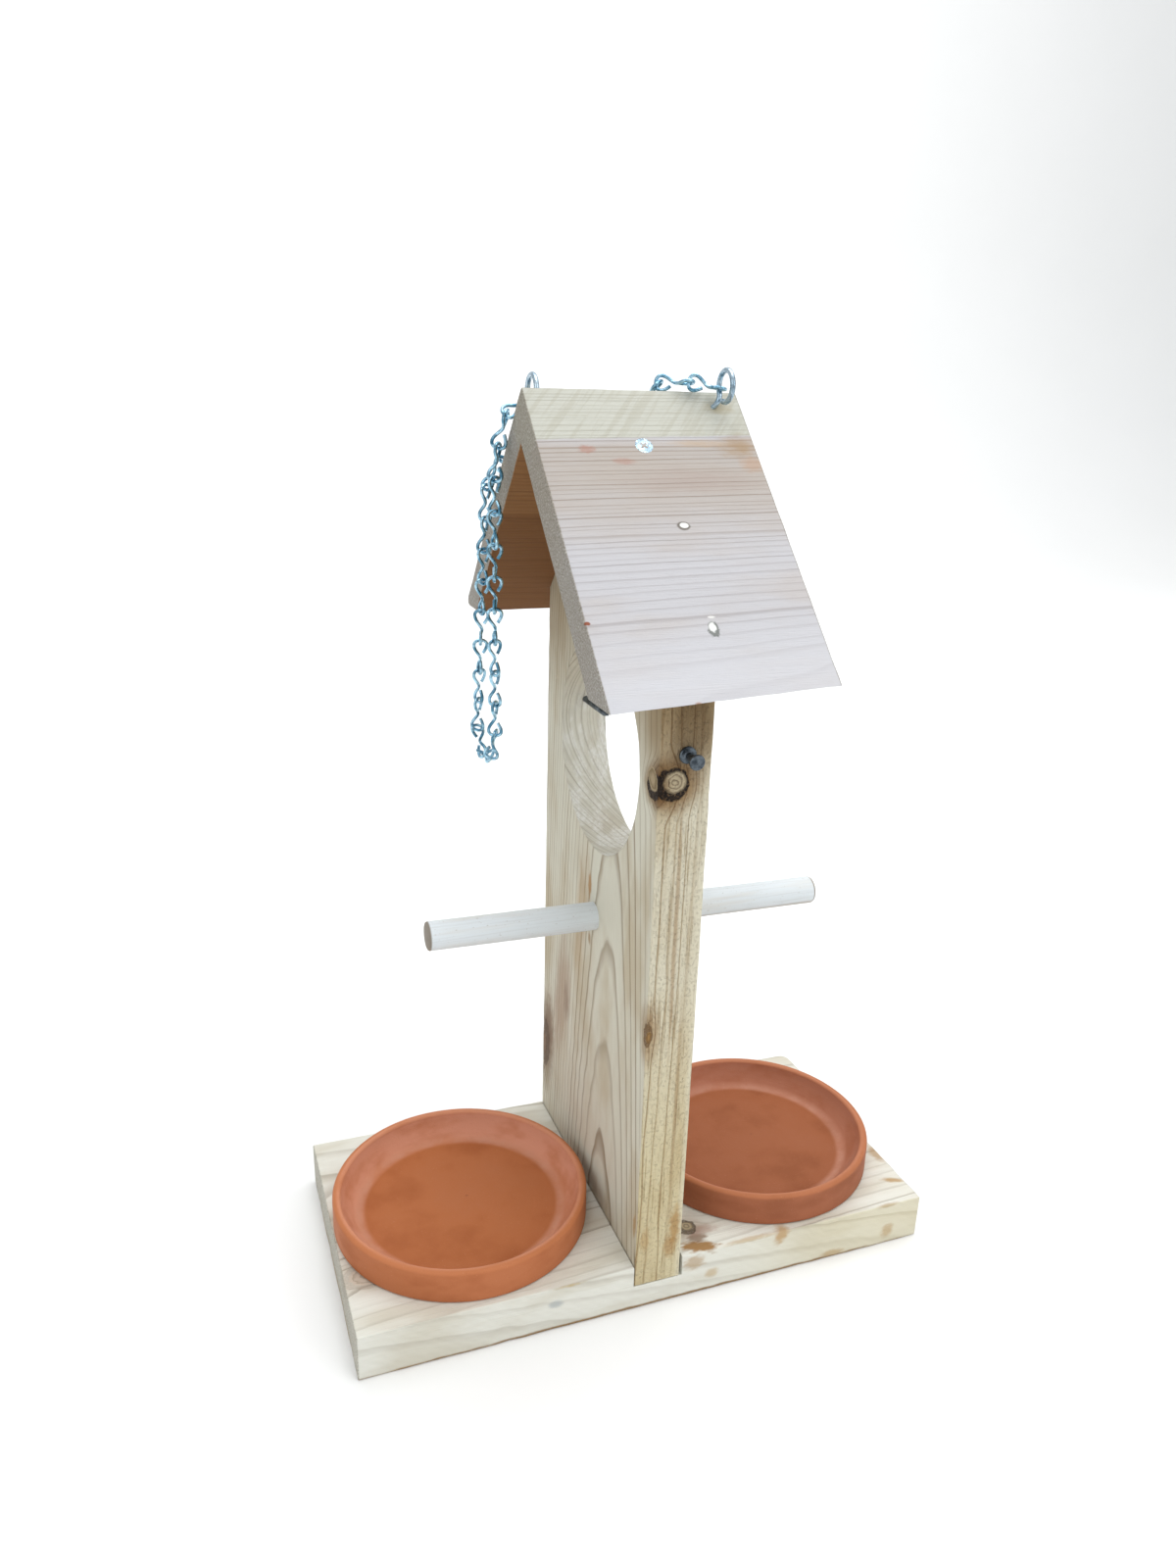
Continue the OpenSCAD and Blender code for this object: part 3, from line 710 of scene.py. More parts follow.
# Pine under the open sky: bleached to a dull cool grey, its holes stopped with white filler
roofFrontLook = {
    "early": "#bebdc0", "late": "#7d7270", "blotch": "#bab4b1", "streak": "#b1a8a4",
    "contrast": 0.4, "blotches": 0.8, "streaks": 0.25, "seed": 8.0, "relief": 0.3,
    "origin": (0, 0, house["ridgeZ"]), "turn": (45, 0, 0),
    "ring": {"pith": (-156, -75), "width": 2.0, "taper": -0.021, "wobble": 0.9, "wave": (95, 30, 30),
             "start": 0.7, "seed": 3.0, "least": 0.45},
    "marks": [
        mark((38.5, -31, 0), (14, 9, 3), "#a08564", 0.75, 0.8, grain=(6, 3, 3), soft=0.9),
        mark((20, -29.5, 0), (20, 3, 3), "#b79c7c", 0.55, 0.8, soft=0.9),
        mark((42, -41, 0), (8, 6, 3), "#b28d6e", 0.5, 0.8),
        mark((-32, -33.2, 0), (5, 3, 3), "#a8705c", 0.5, 1.3, grain=(2, 1.5, 2)),
        mark((-17, -39.5, 0), (7, 2.5, 3), "#a87a6a", 0.45, 0.9),
        mark((10, -50, 0), (45, 10, 3), "#a08c84", 0.35, 0.8, grain=(12, 3, 3), soft=0.95),
        mark((-52, -117.4, 0), (1.6, 1.0, 1.5), "#8a4a30", 0.95, 0.5, grain=(1, 1, 1), soft=0.4),
        mark((20, -158, 0), (3, 1.5, 2), "#9d6b4a", 0.8, 0.6),
        mark((-1, -156, 0), (3, 1.2, 2), "#9d6b4a", 0.7, 0.6),
        mark((-17, -155, 0), (2, 1.2, 2), "#9d6b4a", 0.7, 0.6),
        mark((35, -9.5, 0), (10, 5, 3), "#a3936c", 0.55, 0.6, soft=0.9),
        mark((0.2, -72.9, 0), (3.3, 2.5, 1.5), "#77716a", 0.95, 0.3, grain=(2, 2, 2), soft=0.25),
        mark((0.5, -72.6, 0), (2.3, 1.5, 1.5), "#eeeeea", 1.0, 0.3, grain=(2, 2, 2), soft=0.3),
        mark((-1.2, -122.6, 0), (2.8, 4.2, 1.5), "#777a76", 0.95, 0.9, grain=(1.6, 1.6, 2), soft=0.3),
        mark((-1.4, -121.6, 0), (1.9, 2.7, 1.5), "#e9eae6", 0.95, 0.7, grain=(1.5, 1.5, 2), soft=0.3),
        mark((-0.5, -117.0, 0), (2.0, 0.7, 1.5), "#ecebe6", 0.8, 0.7, grain=(1.5, 1.5, 2), soft=0.5),
    ],
}


def dressRoof(tree, wood, colour, height, down, band):
    # down is -1 where the slope coordinate falls towards the eave
    space, axes, late, grain = (wood[key] for key in ("space", "axes", "late", "grain"))
    slope = cover(tree, axes[1], down)
    dense = cover(tree, (slope, 24 * mm, 34 * mm), (slope, 95 * mm, 45 * mm))
    # A cream band along the ridge, planed after the rest and swept by the planer's strokes
    ragged = unevenness(tree, space, (14, 3, 3), 2.0, 31)
    reach = buildUp(tree, buildUp(tree, slope, axes[0], band["lean"]), ragged, 1.4 * mm)
    fresh = cover(tree, (reach, (band["end"] + 1.5) * mm, (band["end"] + 0.3) * mm))
    swept = addNode(tree, "Mapping", None, {"Vector": space, "Rotation": (0, 0, radians(38))})
    strokes = unevenness(tree, swept, (2.2, 40, 40), 3.0, 51)
    cream = paint(tree, "#bebeb4", ("#9f9b8b", late, 0.5), ("#a39e88", (grain, 0.5, 0.72, 0.0, 0.35)),
                  ("#a8a493", (strokes, 0.45, 0.62, 0.0, 0.35)))
    colour = paint(tree, colour, ("#725d4a", late, dense, 0.8), ("#a69a8c", dense, 0.55), (cream, fresh),
                   ("#cfd0d5", (slope, 110 * mm, 150 * mm, 0.0, 0.5)))
    height = sawMarks(tree, space, height, 38, 5.0, fresh, 0.35)
    ends = [end.x for end in boardBox["roof_board_front"]]
    return endGrain(tree, axes, colour, height, ends, "#8d8679", band.get("skew", 0.0))


def dressRoofFront(tree, wood, colour, height):
    return dressRoof(tree, wood, colour, height, -1, {"end": 26.2, "lean": 0.037})


# The same pine on the other slope, with wide stains, never bleached beneath and painted darker there as
# painted shade
roofBackLook = {
    **roofFrontLook, "seed": 14.0, "turn": (-45, 0, 0),
    "ring": {"pith": (150, -62), "width": 2.2, "taper": 0.02, "wobble": 1.8, "wave": (80, 30, 30),
             "start": 0.6, "seed": 13.0, "least": 0.3},
    "marks": [
        mark((20, 60, 0), (26, 16, 3), "#a89078", 0.5, 0.9, grain=(12, 4, 3), soft=0.9),
        mark((-25, 118, 0), (20, 10, 3), "#b5a08c", 0.45, 0.9, soft=0.9),
        mark((-44, 12.1, 0), (6, 5, 3), "#a3936c", 0.5, 0.6, soft=0.9),
    ],
}


def dressRoofBack(tree, wood, colour, height):
    band = {"end": 22, "lean": -0.02, "skew": 0.0259}
    colour, height = dressRoof(tree, wood, colour, height, 1, band)
    # The underside was never bleached: it is still an orange brown, painted darker than the wood is as
    # painted shade, darkest towards the eave
    axes, thick = wood["axes"], house["roofT"]
    dark = buildUp(tree, cover(tree, wood["late"], 0.5), wood["grain"], 0.35)
    brown = paint(tree, "#946a42", ("#5c3a1e", dark), ("#6b4526", (axes[1], 60 * mm, 64 * mm, 0.0, 0.55)))
    beneath = (axes[2], (1.2 - thick) * mm, (0.4 - thick) * mm)
    return paint(tree, colour, (brown, beneath)), height


def makeRoofBoard(back):
    board = {"front": {"slope": 157.0, "skew": 5.5},
             "back": {"slope": 154.5, "skew": 4.0, "tip": 7.2},
             "wear": {"round": 0.6, "length": 7, "depth": 0.55}, "spare": 20}
    cut = board["back" if back else "front"]
    spare = board["spare"]
    ends = [roofLeft, roofLeft + house["roofL"]]
    if not back:
        ends = [-ends[1], -ends[0]]
    roof = addBlock("roofBoardBack" if back else "roofBoardFront", (ends[0], -spare, -house["roofT"]),
                    (ends[1], cut["slope"] + spare, 0))
    way = 1 if back else -1
    placeBy(roof, slopeFrame(back))
    s = sin(radians(house["pitch"]))
    planeCut(roof, (0, 0, 0), (0, way, 0))
    eave = vec(roofLeft, 0, house["ridgeZ"] - cut["slope"] * s)
    lean = 0 if back else atan2(cut["skew"] * s, house["roofL"])
    planeCut(roof, eave, (-sin(lean), 0, cos(lean)))
    if back:  # its left end leans in towards the lower edge
        skew = atan2(cut["skew"], cut["slope"])
        planeCut(roof, vec(roofLeft, 0, house["ridgeZ"]), (cos(skew), -sin(skew) * s, sin(skew) * s))
        pickEdges(roof, lambda end: abs(end.y - cut["slope"] * s) < 0.1)
        roundOff(cut["tip"], 5)
    sliceAlong(roof, (0, 0, 0), (1, 0, 0), 7 * mm)
    sliceAlong(roof, (0, 0, 0), (0, way, -1), 9 * mm)
    wearEdges(roof, board["wear"])
    smooth(roof)
    if back:
        look = plankFinish("weatheredPineBrown", roofBackLook, dressRoofBack)
        finishPiece(roof, look, "roof_board_back", "house")
    else:
        look = plankFinish("weatheredPineGrey", roofFrontLook, dressRoofFront)
        finishPiece(roof, look, "roof_board_front", "house")


# The perch

def birchDowel():
    # A turned birch dowel, bleached outdoors: close grained, pale and dull, with grey specks
    material, tree, space = startMaterial("birchDowelBleached")
    grain = unevenness(tree, space, (40, 0.8, 0.8), 3.0, 3)
    broad = unevenness(tree, space, (60, 6, 6), 2.0, 6)
    specks = unevenness(tree, space, (1.6, 0.7, 0.7), 1.0, 9)
    # Dirt stays on the sawn ends, and the underside is darkened with painted shade
    centred = pieceSpace(tree, (house["uprightX"] + perch["shift"], 0, 0))
    axes = addNode(tree, "SeparateXYZ", None, (centred,)).node.outputs
    out = addNode(tree, "Math", {"operation": "ABSOLUTE"}, (axes[0],))
    half, low = perch["length"] / 2, perch["z"] - perch["diameter"] / 2
    colour = paint(tree, "#dbe1e4", ("#c6c8c8", (grain, 0.45, 0.75, 0.0, 0.5)),
                   ("#d3cfc6", (broad, 0.5, 0.72, 0.0, 0.45)), ("#9b8f7e", (specks, 0.7, 0.76, 0.0, 0.5)),
                   ("#75654f", (out, (half - 1.5) * mm, (half - 0.7) * mm, 0.0, 0.85)),
                   # painted shade along the underside
                   ("#a08f7a", (axes[2], (low + 3) * mm, low * mm, 0.0, 0.6)))
    return finishMaterial(material, colour, (grain, 0.3, 0.8, 0.6, 0.8), grain, 0.12, specular=0.3)


def makePerch():
    half, r, chamfer, steps = perch["length"] / 2, perch["diameter"] / 2, perch["chamfer"], perch["steps"]
    profile = [(r - chamfer, -half), (r - 0.35, -half + 0.25), (r, -half + chamfer)]
    straight = perch["length"] - 2 * chamfer
    profile += [(r, -half + chamfer + straight * i / steps) for i in range(1, steps + 1)]
    profile += [(r - 0.3, half - 0.25), (r - chamfer, half)]
    dowel = turnProfile("perchDowel", profile, 48)
    placeBy(dowel, perchFrame)
    raiseLumps(dowel, "Lumps", 14, 0.12, 0.6)
    smooth(dowel, 40)
    finishPiece(dowel, birchDowel(), "perch_dowel", "house")


# The saucers

def redClay(name, middle, body, wall, dark):
    # Unglazed red clay, pressed in a mould and turned: dull, cloudy, gritty, with fine turning rings
    material, tree, space = startMaterial(name, middle)
    cloud = unevenness(tree, space, (26, 26, 12), 3.0, middle[0] * 0.1)
    grit = unevenness(tree, space, (0.7, 0.7, 0.7), 2.0, 5)  # real sand is finer, too fine to show
    creaseHighlightClouds = unevenness(tree, space, (12, 12, 6), 3.0, 15)  # clouds in the painted highlight along the crease
    away = distanceFrom(tree, space, (0, 0, 0), (1, 1, 0))
    height = addNode(tree, "SeparateXYZ", None, (space,), "Z")
    colour = paint(tree, body, (dark, (cloud, 0.45, 0.72, 0.0, 0.8)),
                   (wall, (away, 49.5 * mm, 55 * mm), (away, 63 * mm, 61 * mm), (cloud, 0.3, 0.6, 0.25, 0.9)),
                   # A paler ring along the crease at the foot of the inner wall: painted highlight
                   ("#c99a86", (away, 47.5 * mm, 50.5 * mm), (away, 55 * mm, 51 * mm),
                    (creaseHighlightClouds, 0.3, 0.7, 0.15, 0.4)))
    colour = paint(tree, colour, ("#f1ead2", (away, 50 * mm, 47.5 * mm)), mode="MULTIPLY")  # the floor darker and warmer
    colour = paint(tree, colour, ("#c27a4e", (height, 15.2 * mm, 16.6 * mm), 0.4),  # painted highlight along the rim's top
                   ("#8a4d30", (grit, 0.66, 0.74, 0.0, 0.35)), ("#d49a78", (grit, 0.34, 0.26, 0.0, 0.3)))
    colour = spots(tree, space, colour, [
        mark((4, 4, 6), (1.4, 0.9, 3), "#7a4228", 0.7, soft=0.6, grain=(1, 1, 1)),
        mark((-43, -2, 8), (3, 2.4, 4), "#a35a3a", 0.5, 0.3),
        mark((40, -26, 9), (3, 2.4, 4), "#a35a3a", 0.45, 0.3)])
    rings = addNode(tree, "TexNoise", {"noise_dimensions": "1D"}, {"W": away, "Scale": 900.0, "Detail": 1.0})
    relief = buildUp(tree, cover(tree, grit, 0.6), rings, 0.35)
    return finishMaterial(material, colour, (cloud, 0.3, 0.7, 0.62, 0.78), relief, 0.12, specular=0.35)


def makeSaucers():
    dish = {"r": 64.25, "h": 17.0, "rim": 4.4, "floor": 4.5, "rimRound": 1.9, "footRound": 1.4,
            "fillet": 6.0, "lean": 35.0, "y": -5.0, "x": {"left": -84.0, "right": 81.5},
            "footRing": 48.0, "hollow": 0.5, "turn": {"left": 0, "right": 140}}
    inner = dish["r"] - dish["rim"]
    tilt = radians(dish["lean"])
    foot = dish["floor"] + dish["fillet"] * (1 - sin(tilt))
    base = inner - (dish["h"] - dish["rimRound"] - foot) * tan(tilt) - dish["fillet"] * cos(tilt)

    def arc(cx, cy, r, start, end, steps):
        return [(cx + r * cos(radians(start + (end - start) * i / steps)),
                 cy + r * sin(radians(start + (end - start) * i / steps))) for i in range(steps + 1)]

    hollow, ring = dish["hollow"], dish["footRing"]  # it stands on a ring, hollow within
    profile = [(8, hollow), (ring - 2, hollow), (ring, 0.0), (dish["r"] - dish["footRound"] - 0.6, 0.0)]
    profile += arc(dish["r"] - dish["footRound"], dish["footRound"], dish["footRound"], -80, 0, 5)
    profile += arc(dish["r"] - dish["rimRound"], dish["h"] - dish["rimRound"], dish["rimRound"], 0, 90, 8)
    profile += arc(inner + dish["rimRound"], dish["h"] - dish["rimRound"], dish["rimRound"], 90, 180, 8)
    profile += arc(base, dish["floor"] + dish["fillet"], dish["fillet"], -dish["lean"], -90, 8)
    profile += [(r, dish["floor"]) for r in (36, 24, 12, 4)]
    clay = {"left": ("redClayPressedLeft", "#b66c42", "#d39378", "#a86038"),
            # The right saucer is the same clay, painted darker as painted shadow from the upright
            "right": ("redClayPressedRight", "#9f5d3d", "#b0735a", "#8f5234")}
    model = turnProfile("saucerModel", profile, 128)
    raiseLumps(model, "Lumps", 34, 0.25, 0.55)
    for side in ("left", "right"):
        saucer = copyOf(model, "saucer" + side.title())
        middle = (dish["x"][side], dish["y"], house["baseT"])
        turn = Matrix.Rotation(radians(dish["turn"][side]), 4, "Z")
        placeBy(saucer, Matrix.Translation(vec(*middle)) @ turn)
        smooth(saucer, 40)
        finish = redClay(clay[side][0], middle, *clay[side][1:])
        finishPiece(saucer, finish, "saucer_" + side, side + "_saucer")
    remove(model)


# Steel: nails, screws, eyes and chain

turnSteps = 16  # points in one turn of a thread
metals = {
    # Drawn steel wire, black from the mill: a half dull dark grey, rubbed bright in spots
    "steelWireBlackened": {"light": "#6d767e", "dark": "#3b4248", "rough": 0.38, "grain": 0.9, "depth": 0.05,
                           "worn": "#9aa0a6", "wear": 0.5},
    # Bright zinc plate: nearly a mirror, with faint cool clouds
    "zincPlateBright": {"light": "#b9cbd6", "dark": "#8ba2b2", "rough": 0.26, "grain": 0.7, "depth": 0.03,
                        "worn": "#8b8f92", "wear": 0.2},
    # Zinc plate passivated blue: a glossy sky blue that is darker in its clouds
    "zincPlateBlue": {"light": "#b4dcf0", "dark": "#54869f", "rough": 0.2, "grain": 0.8, "depth": 0.03,
                      "worn": "#8b8f92", "wear": 0.2},
}


def metalFinish(name):
    metal = metals[name]
    material, tree, space = startMaterial(name)
    cloud = unevenness(tree, space, (metal["grain"] * 5,) * 3, 3.0, 2)
    grit = unevenness(tree, space, (metal["grain"],) * 3, 3.0, 8)  # coarser than real pits, to be seen
    colour = paint(tree, metal["light"], (metal["dark"], (cloud, 0.35, 0.65)),
                   (metal["worn"], (grit, 0.6, 0.72, 0.0, metal["wear"])))
    rough = (grit, 0.3, 0.7, metal["rough"] - 0.08, metal["rough"] + 0.12)
    return finishMaterial(material, colour, rough, grit, metal["depth"], metallic=1.0)


def makeNails(steel):
    r = nail["shank"] / 2
    head, outer = nail["head"] / 2, nail["outerHead"] / 2
    t, neck = nail["headT"], nail["neck"]
    profile = [(0.25, -nail["length"]), (0.7, -nail["length"] + 1.6), (r, -nail["length"] + nail["point"])]
    for i in range(nail["rings"]):  # the gripping rings below the head
        low, groove = nail["ringStart"] + nail["ringPitch"] * i, r - nail["ringDepth"]
        profile += [(r, low), (groove, low + 0.3), (groove, low + 0.7), (r, low + 1.0)]
    profile += [(r, -0.3), (r + 0.25, 0), (head - 0.3, 0), (head, 0.3), (head, t - 0.4), (head - 0.35, t),
                (r + 0.5, t + 0.1), (r, t + 0.5), (r, neck - 0.4), (r + 0.4, neck), (outer - 0.25, neck),
                (outer, neck + 0.3), (outer, neck + t - 0.45), (outer - 0.3, neck + t - 0.1),
                (outer - 0.8, neck + t), (1.2, neck + t)]
    model = turnProfile("nailModel", profile, 32)
    smooth(model, 32)
    for name, place, node, body in (("nailFront", frontNail, "nail_front", "front_nail"),
                                    ("nailBack", backNail, "nail_back", "back_nail")):
        piece = copyOf(model, name)
        placeBy(piece, place)
        finishPiece(piece, steel, node, body)
    remove(model)


def makeScrews(zinc):
    screw = {"head": 8.0, "headH": 2.6, "shank": 4.0, "length": 35.0, "point": 5.0, "recess": 4.6,
             "recessW": 1.1, "recessD": 1.9, "thread": 0.45, "threadPitch": 1.8, "threadStart": 2.5,
             "plain": 14.0, "recessFoot": (0.45, 0.6, 1),
             "frontX": house["uprightX"] - 3, "backX": house["uprightX"] + 4, "down": 31.0, "baseY": 40.0}
    r, headR, tip = screw["shank"] / 2, screw["head"] / 2, -screw["length"]
    core = r - screw["thread"]
    profile = [(0.2, tip), (core, tip + screw["point"]), (core, -screw["plain"]),
               (r - 0.1, -screw["plain"] + 0.5), (r - 0.1, -screw["headH"] - 0.4),
               (headR - 0.15, -0.3), (headR, -0.12), (headR - 0.1, 0), (3.2, 0.0)]
    model = turnProfile("screwModel", profile, 40)
    for turn in (45, 135):  # the cross recess, narrower at its foot
        blade = addBlock("blade", (-screw["recess"] / 2, -screw["recessW"] / 2, -screw["recessD"]),
                         (screw["recess"] / 2, screw["recessW"] / 2, 1))
        editOn(blade)
        bpy.ops.mesh.select_all(action="DESELECT")
        editOff()
        for vertex in blade.data.vertices:
            vertex.select = vertex.co.z < 0
        editOn(blade)
        bpy.ops.transform.resize(value=screw["recessFoot"])
        editOff()
        placeBy(blade, Matrix.Rotation(radians(turn), 4, "Z"))
        cutAway(model, blade)
    helix = []
    threaded = screw["length"] - screw["plain"] - 2
    for i in range(int(threaded / screw["threadPitch"] * turnSteps)):
        out, a = (core + 0.1) * min(1, 0.2 + i / 30), 2 * pi * i / turnSteps  # shallow at the point
        up = tip + screw["threadStart"] + screw["threadPitch"] * i / turnSteps
        helix.append(vec(out * cos(a), out * sin(a), up))
    model = joinPieces("screwModel", [model, bendWire("thread", helix, screw["thread"], 1)])
    smooth(model, 30)
    flip = Matrix.Rotation(pi, 4, "X")
    roofPlaces = [slopeFrame(False) @ Matrix.Translation(vec(-screw["frontX"], screw["down"], 0)),
                  slopeFrame(True) @ Matrix.Translation(vec(screw["backX"], screw["down"], 0))]
    basePlaces = [Matrix.Translation(vec(house["uprightX"], y, 0)) @ flip
                  for y in (-screw["baseY"], screw["baseY"])]
    finishPiece(copiesAt(model, "roofScrews", roofPlaces), zinc, "roof_screws", "house")
    finishPiece(copiesAt(model, "baseScrews", basePlaces), zinc, "base_screws", "house")
    remove(model)


def makeEyes(zinc):
    eye = {"wire": 2.4, "outer": 15.4, "shank": 10.5, "gap": 22.0, "threadPitch": 1.3, "step": 0.5,
           "start": 10.0, "steps": 60}
    ringR = (eye["outer"] - eye["wire"]) / 2
    places = {"left": {"x": house["roofX"] - 40.5, "down": 12.1, "lean": -32.5, "stemLean": 0.0,
                       "stem": 1.9, "way": 1},
              "right": {"x": house["roofX"] + 36.1, "down": 9.0, "lean": 38.0, "stemLean": 24.0,
                        "stem": 5.0, "way": -1}}
    forward = Vector((0, 1, 0))
    for side, place in places.items():
        lean = radians(place["stemLean"])
        along = Vector((sin(lean), 0, cos(lean)))
        top = along * place["stem"]
        first = int((eye["shank"] + place["stem"] - 1.4) / eye["step"]) + 1  # where the ring starts
        points = [along * (-eye["shank"] + eye["step"] * i) for i in range(first)]
        for i in range(eye["steps"] + 1):
            a = radians(eye["start"] + (360 - eye["gap"] - eye["start"]) * i / eye["steps"])
            points.append(top + Vector((0, ringR * sin(a), ringR - ringR * cos(a))))
        for _ in range(4):  # the stem runs into the ring in an even bend
            for i in range(first - 3, first + 4):
                points[i] = (points[i - 1] + points[i] * 2 + points[i + 1]) / 4
        wire = bendWire("eyeWire", [p * mm for p in points], eye["wire"], 5)
        sideways, helix = along.cross(forward), []
        for i in range(int((eye["shank"] + 0.6) / eye["threadPitch"] * turnSteps)):
            a, up = 2 * pi * i / turnSteps, -eye["shank"] + eye["threadPitch"] * i / turnSteps
            out = (forward * cos(a) + sideways * sin(a)) * eye["wire"] / 2 * 0.96
            helix.append((along * up + out) * mm)
        thread = bendWire("eyeThread", helix, 0.5, 1)
        whole = joinPieces("screwEye" + side.title(), [wire, thread])
        y = place["way"] * place["down"] * cos(radians(house["pitch"]))
        z = house["ridgeZ"] - place["down"] * sin(radians(house["pitch"]))
        placeBy(whole, Matrix.Translation(vec(place["x"], y, z))
                @ Matrix.Rotation(radians(place["lean"]), 4, "X"))
        finishPiece(whole, zinc, "screw_eye_" + side, "house")


# The chain: one link bent from wire, and every link a copy of it

chain = {
    "wire": 1.6, "pitch": 14.5, "loop": 7.9, "gap": 0.3, "start": 13, "twist": 34, "steps": 72,
    "home": Vector((house["roofX"], 0, house["ridgeZ"])),
    "leftRing": (-39.2, 18.7, -3.9), "frontTop": (-50.9, 16.1, -10.9), "frontSecond": (-54.1, 18, -24.3),
    "frontLine": (-55.4, 19, -38.6), "frontCount": 8, "bendFront": (-55.9, 24.4, -167.2),
    "bendBack": (-56.4, 37.9, -169.8), "edge": (-46.4, 38.9, -31.6), "backTop": (-53.6, 39.8, -43.5),
    "backAim": (-56.8, 45.5, -159.6), "backCount": 8, "ridge": (13.9, 3.4, 2.9),
    "ridgeMiddle": (26.2, -3, 3.7), "rightRing": (39.7, -7.6, 1.2), "roofCount": 6, "roofBow": 15,
    "tailTurns": [-38], "frontTurns": [79, 75, 50, 25, 0, 0, 15, 40, 60, 74], "bendTurns": [142, 147, 163],
    "backTurns": [59, 70, 45, 25, 5, 20, 40, 66], "edgeTurns": [273], "roofTurns": [125, 96, 80, 70, 75, 63],
    "ridgeTurns": [0, -14], "across": (0.935, -0.353, 0),
}


def linkModel():
    half = (chain["pitch"] + chain["wire"] + chain["gap"]) / 2
    side = (chain["loop"] - chain["wire"]) / 2
    points = []
    for i in range(chain["steps"]):
        t = chain["start"] + (360 - 2 * chain["start"]) * i / (chain["steps"] - 1)
        share = max(0, min(1, (t - 180 + chain["twist"]) / (2 * chain["twist"])))
        a = radians(90 * share * share * (3 - 2 * share))
        s = side * sin(radians(2 * t))
        points.append(Vector((s * cos(a), s * sin(a), half * sin(radians(t)))) * mm)
    return bendWire("linkModel", points, chain["wire"], 3)


def linkPlace(p, q, side, turn):
    up = (p - q).normalized()
    flat = Vector(side) - up * (Vector(side) @ up)
    x = Matrix.Rotation(radians(turn), 3, up) @ flat.normalized()
    return Matrix.Translation((p + q) / 2 * mm) @ Matrix((x, up.cross(x), up)).transposed().to_4x4()


def roofRun():
    # An even bow between the ridge and the gable edge, on the back slope
    toSlope = slopeFrame(True).inverted()
    ridge, edge = ((toSlope @ ((chain["home"] + Vector(chain[k])) * mm)) / mm for k in ("ridge", "edge"))
    count = chain["roofCount"]
    base = atan2(edge.y - ridge.y, edge.x - ridge.x)
    run = [Vector((0, 0))]
    for i in range(count):
        heading = base + radians((i - (count - 1) / 2) * chain["roofBow"])
        run.append(run[-1] + Vector((cos(heading), sin(heading))) * chain["pitch"])
    scale = hypot(edge.x - ridge.x, edge.y - ridge.y) / run[-1].length
    places = []
    for i, step in enumerate(run):
        out = ridge.z + (edge.z - ridge.z) * i / count
        flat = Vector((ridge.x + step.x * scale, ridge.y + step.y * scale, out))
        places.append(slopeFrame(True) @ (flat * mm) / mm)
    return places


def makeChain(zinc):
    at = {key: chain["home"] + Vector(value) for key, value in chain.items()
          if isinstance(value, tuple) and key != "across"}
    down = Vector((0, 0, -chain["pitch"]))
    front = [at["frontTop"], at["frontSecond"]]
    front += [at["frontLine"] + down * i for i in range(chain["frontCount"] + 1)]
    aim = (at["backAim"] - at["backTop"]).normalized() * chain["pitch"]
    back = [at["backTop"] + aim * i for i in range(chain["backCount"] + 1)]
    bend = [front[-1], at["bendFront"], at["bendBack"], back[-1]]
    out = (0, sin(radians(house["pitch"])), cos(radians(house["pitch"])))
    runs = [("chainTailLink", "chain_tail_link", "house", [at["leftRing"], at["frontTop"]], (0, 1, 0),
             "tailTurns"),
            ("chainFrontStrand", "chain_front_strand", "chain_loop", front, chain["across"], "frontTurns"),
            ("chainBendLinks", "chain_bend_links", "chain_loop", bend, (0, 0, 1), "bendTurns"),
            ("chainBackStrand", "chain_back_strand", "chain_loop", back, chain["across"], "backTurns"),
            ("chainEdgeLink", "chain_edge_link", "house", [at["edge"], at["backTop"]], out, "edgeTurns"),
            ("chainRoofRun", "chain_roof_run", "house", roofRun(), out, "roofTurns"),
            ("chainRidgeLinks", "chain_ridge_links", "house",
             [at["rightRing"], at["ridgeMiddle"], at["ridge"]], (0, 1, 0), "ridgeTurns")]
    model = linkModel()
    for name, node, body, points, side, turns in runs:
        places = [linkPlace(p, q, side, turn) for p, q, turn in zip(points, points[1:], chain[turns])]
        finishPiece(copiesAt(model, name, places), zinc, node, body)
    remove(model)


# Floor, backdrop and soft studio light

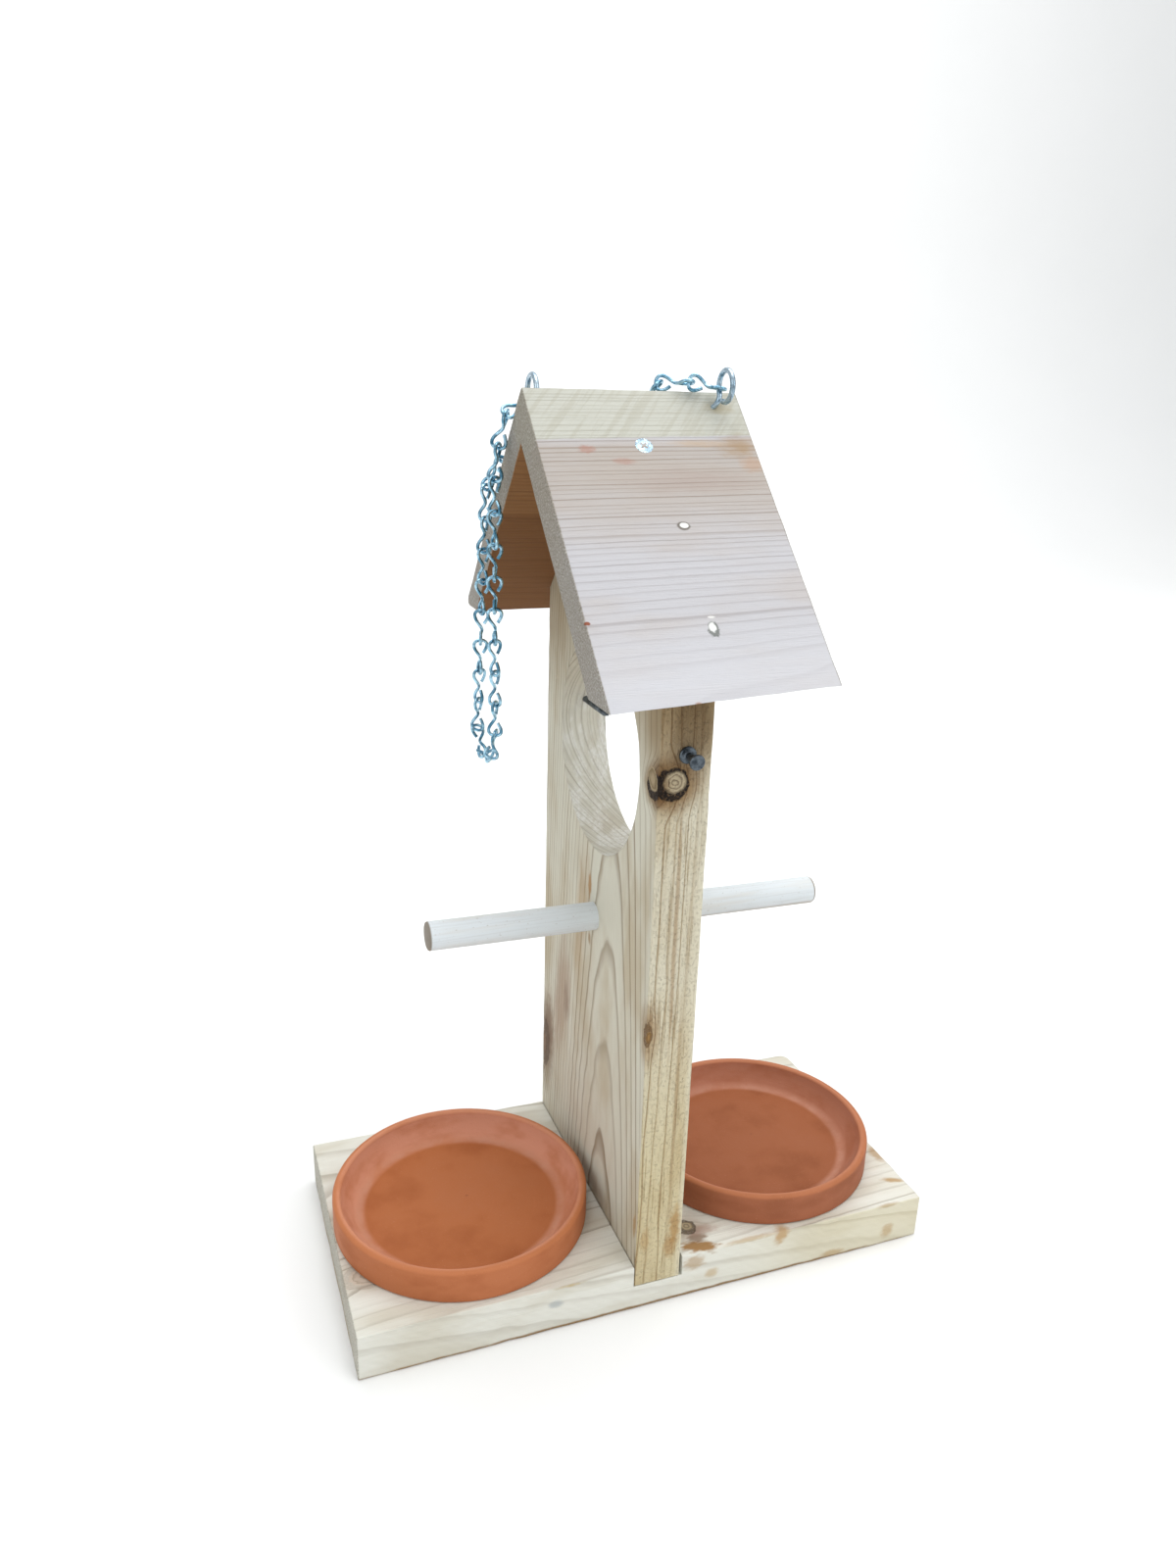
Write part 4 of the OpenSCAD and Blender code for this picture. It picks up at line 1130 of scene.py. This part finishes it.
def makeStudio():
    room = {"width": 18.0, "front": -9.0, "back": 2.6, "wall": 3.2, "bend": 0.9}
    bpy.ops.mesh.primitive_plane_add(size=1, location=(0, (room["front"] + room["back"]) / 2, 0))
    floor = bpy.context.object
    floor.name = "paleFloor"
    floor.scale = (room["width"], room["back"] - room["front"], 1)
    settle(floor)
    pickEdges(floor, lambda end: end.y * mm > room["back"] - 0.01)
    bpy.ops.mesh.extrude_region_move(TRANSFORM_OT_translate={"value": (0, 0, room["wall"])})
    editOff()
    pickEdges(floor, lambda end: end.y * mm > room["back"] - 0.01 and end.z * mm < 0.01)
    roundOff(room["bend"] / mm, 24)
    smooth(floor, 60)
    material, tree, space = startMaterial("palePaper")  # matt white backdrop paper, hardly clouded
    colour = paint(tree, "#f4f4f3", ("#f1f1f0", unevenness(tree, space, (300, 300, 300), 2.0, 1)))
    shader = addNode(tree, "BsdfPrincipled", None,
                     {"Base Color": colour, "Roughness": 0.9, "Specular IOR Level": 0.1})
    addNode(tree, "OutputMaterial", None, {"Surface": shader})
    floor.data.materials.append(material)


def makeLights():
    lights = {"overhead": {"at": (0.2, -0.1, 2.0), "aim": (0, 0, 0.2), "size": 1.6, "power": 20},
              "frontRight": {"at": (1.3, -1.9, 1.3), "aim": (0, 0, 0.25), "size": 1.3, "power": 12},
              "left": {"at": (-1.9, -1.2, 1.2), "aim": (0, 0, 0.25), "size": 1.2, "power": 8},
              "backdrop": {"at": (0.7, 1.0, 2.3), "aim": (1.1, 2.6, 0.9), "size": 2.4, "power": 30}}
    for name, light in lights.items():
        bpy.ops.object.light_add(type="AREA", location=light["at"])
        lamp = bpy.context.object
        lamp.name = name
        lamp.data.shape = "SQUARE"
        lamp.data.size = light["size"]
        lamp.data.energy = light["power"]
        look = Vector(light["aim"]) - Vector(light["at"])
        lamp.rotation_euler = look.to_track_quat("-Z", "Y").to_euler()
    world = bpy.data.worlds.new("softRoom")
    bpy.context.scene.world = world
    world.use_nodes = True
    tree = world.node_tree
    tree.nodes.clear()
    # A pale room that is darker below the horizon
    rise = addNode(tree, "SeparateXYZ", None, (addNode(tree, "TexCoord"),), "Z")
    sky = addNode(tree, "ValToRGB", {"stops": [(0.0, "#5f6870"), (1.0, "#f6f8fa"), (0.13, "#c9ced3"),
                                               (0.3, "#dfe3e7")]},
                  (addNode(tree, "MapRange", None, (rise, -0.1, 0.7)),))
    air = addNode(tree, "Background", None, {"Color": sky, "Strength": 0.75})
    addNode(tree, "OutputWorld", None, {"Surface": air})
    bpy.context.scene.view_settings.view_transform = "Standard"
    print("studio lit")


makeCamera()
makeBase()
makeUpright()
makeRoofBoard(False)
makeRoofBoard(True)
makePerch()
makeSaucers()
makeNails(metalFinish("steelWireBlackened"))
zincPlate = metalFinish("zincPlateBright")
makeScrews(zincPlate)
makeEyes(zincPlate)
makeChain(metalFinish("zincPlateBlue"))
makeStudio()
makeLights()
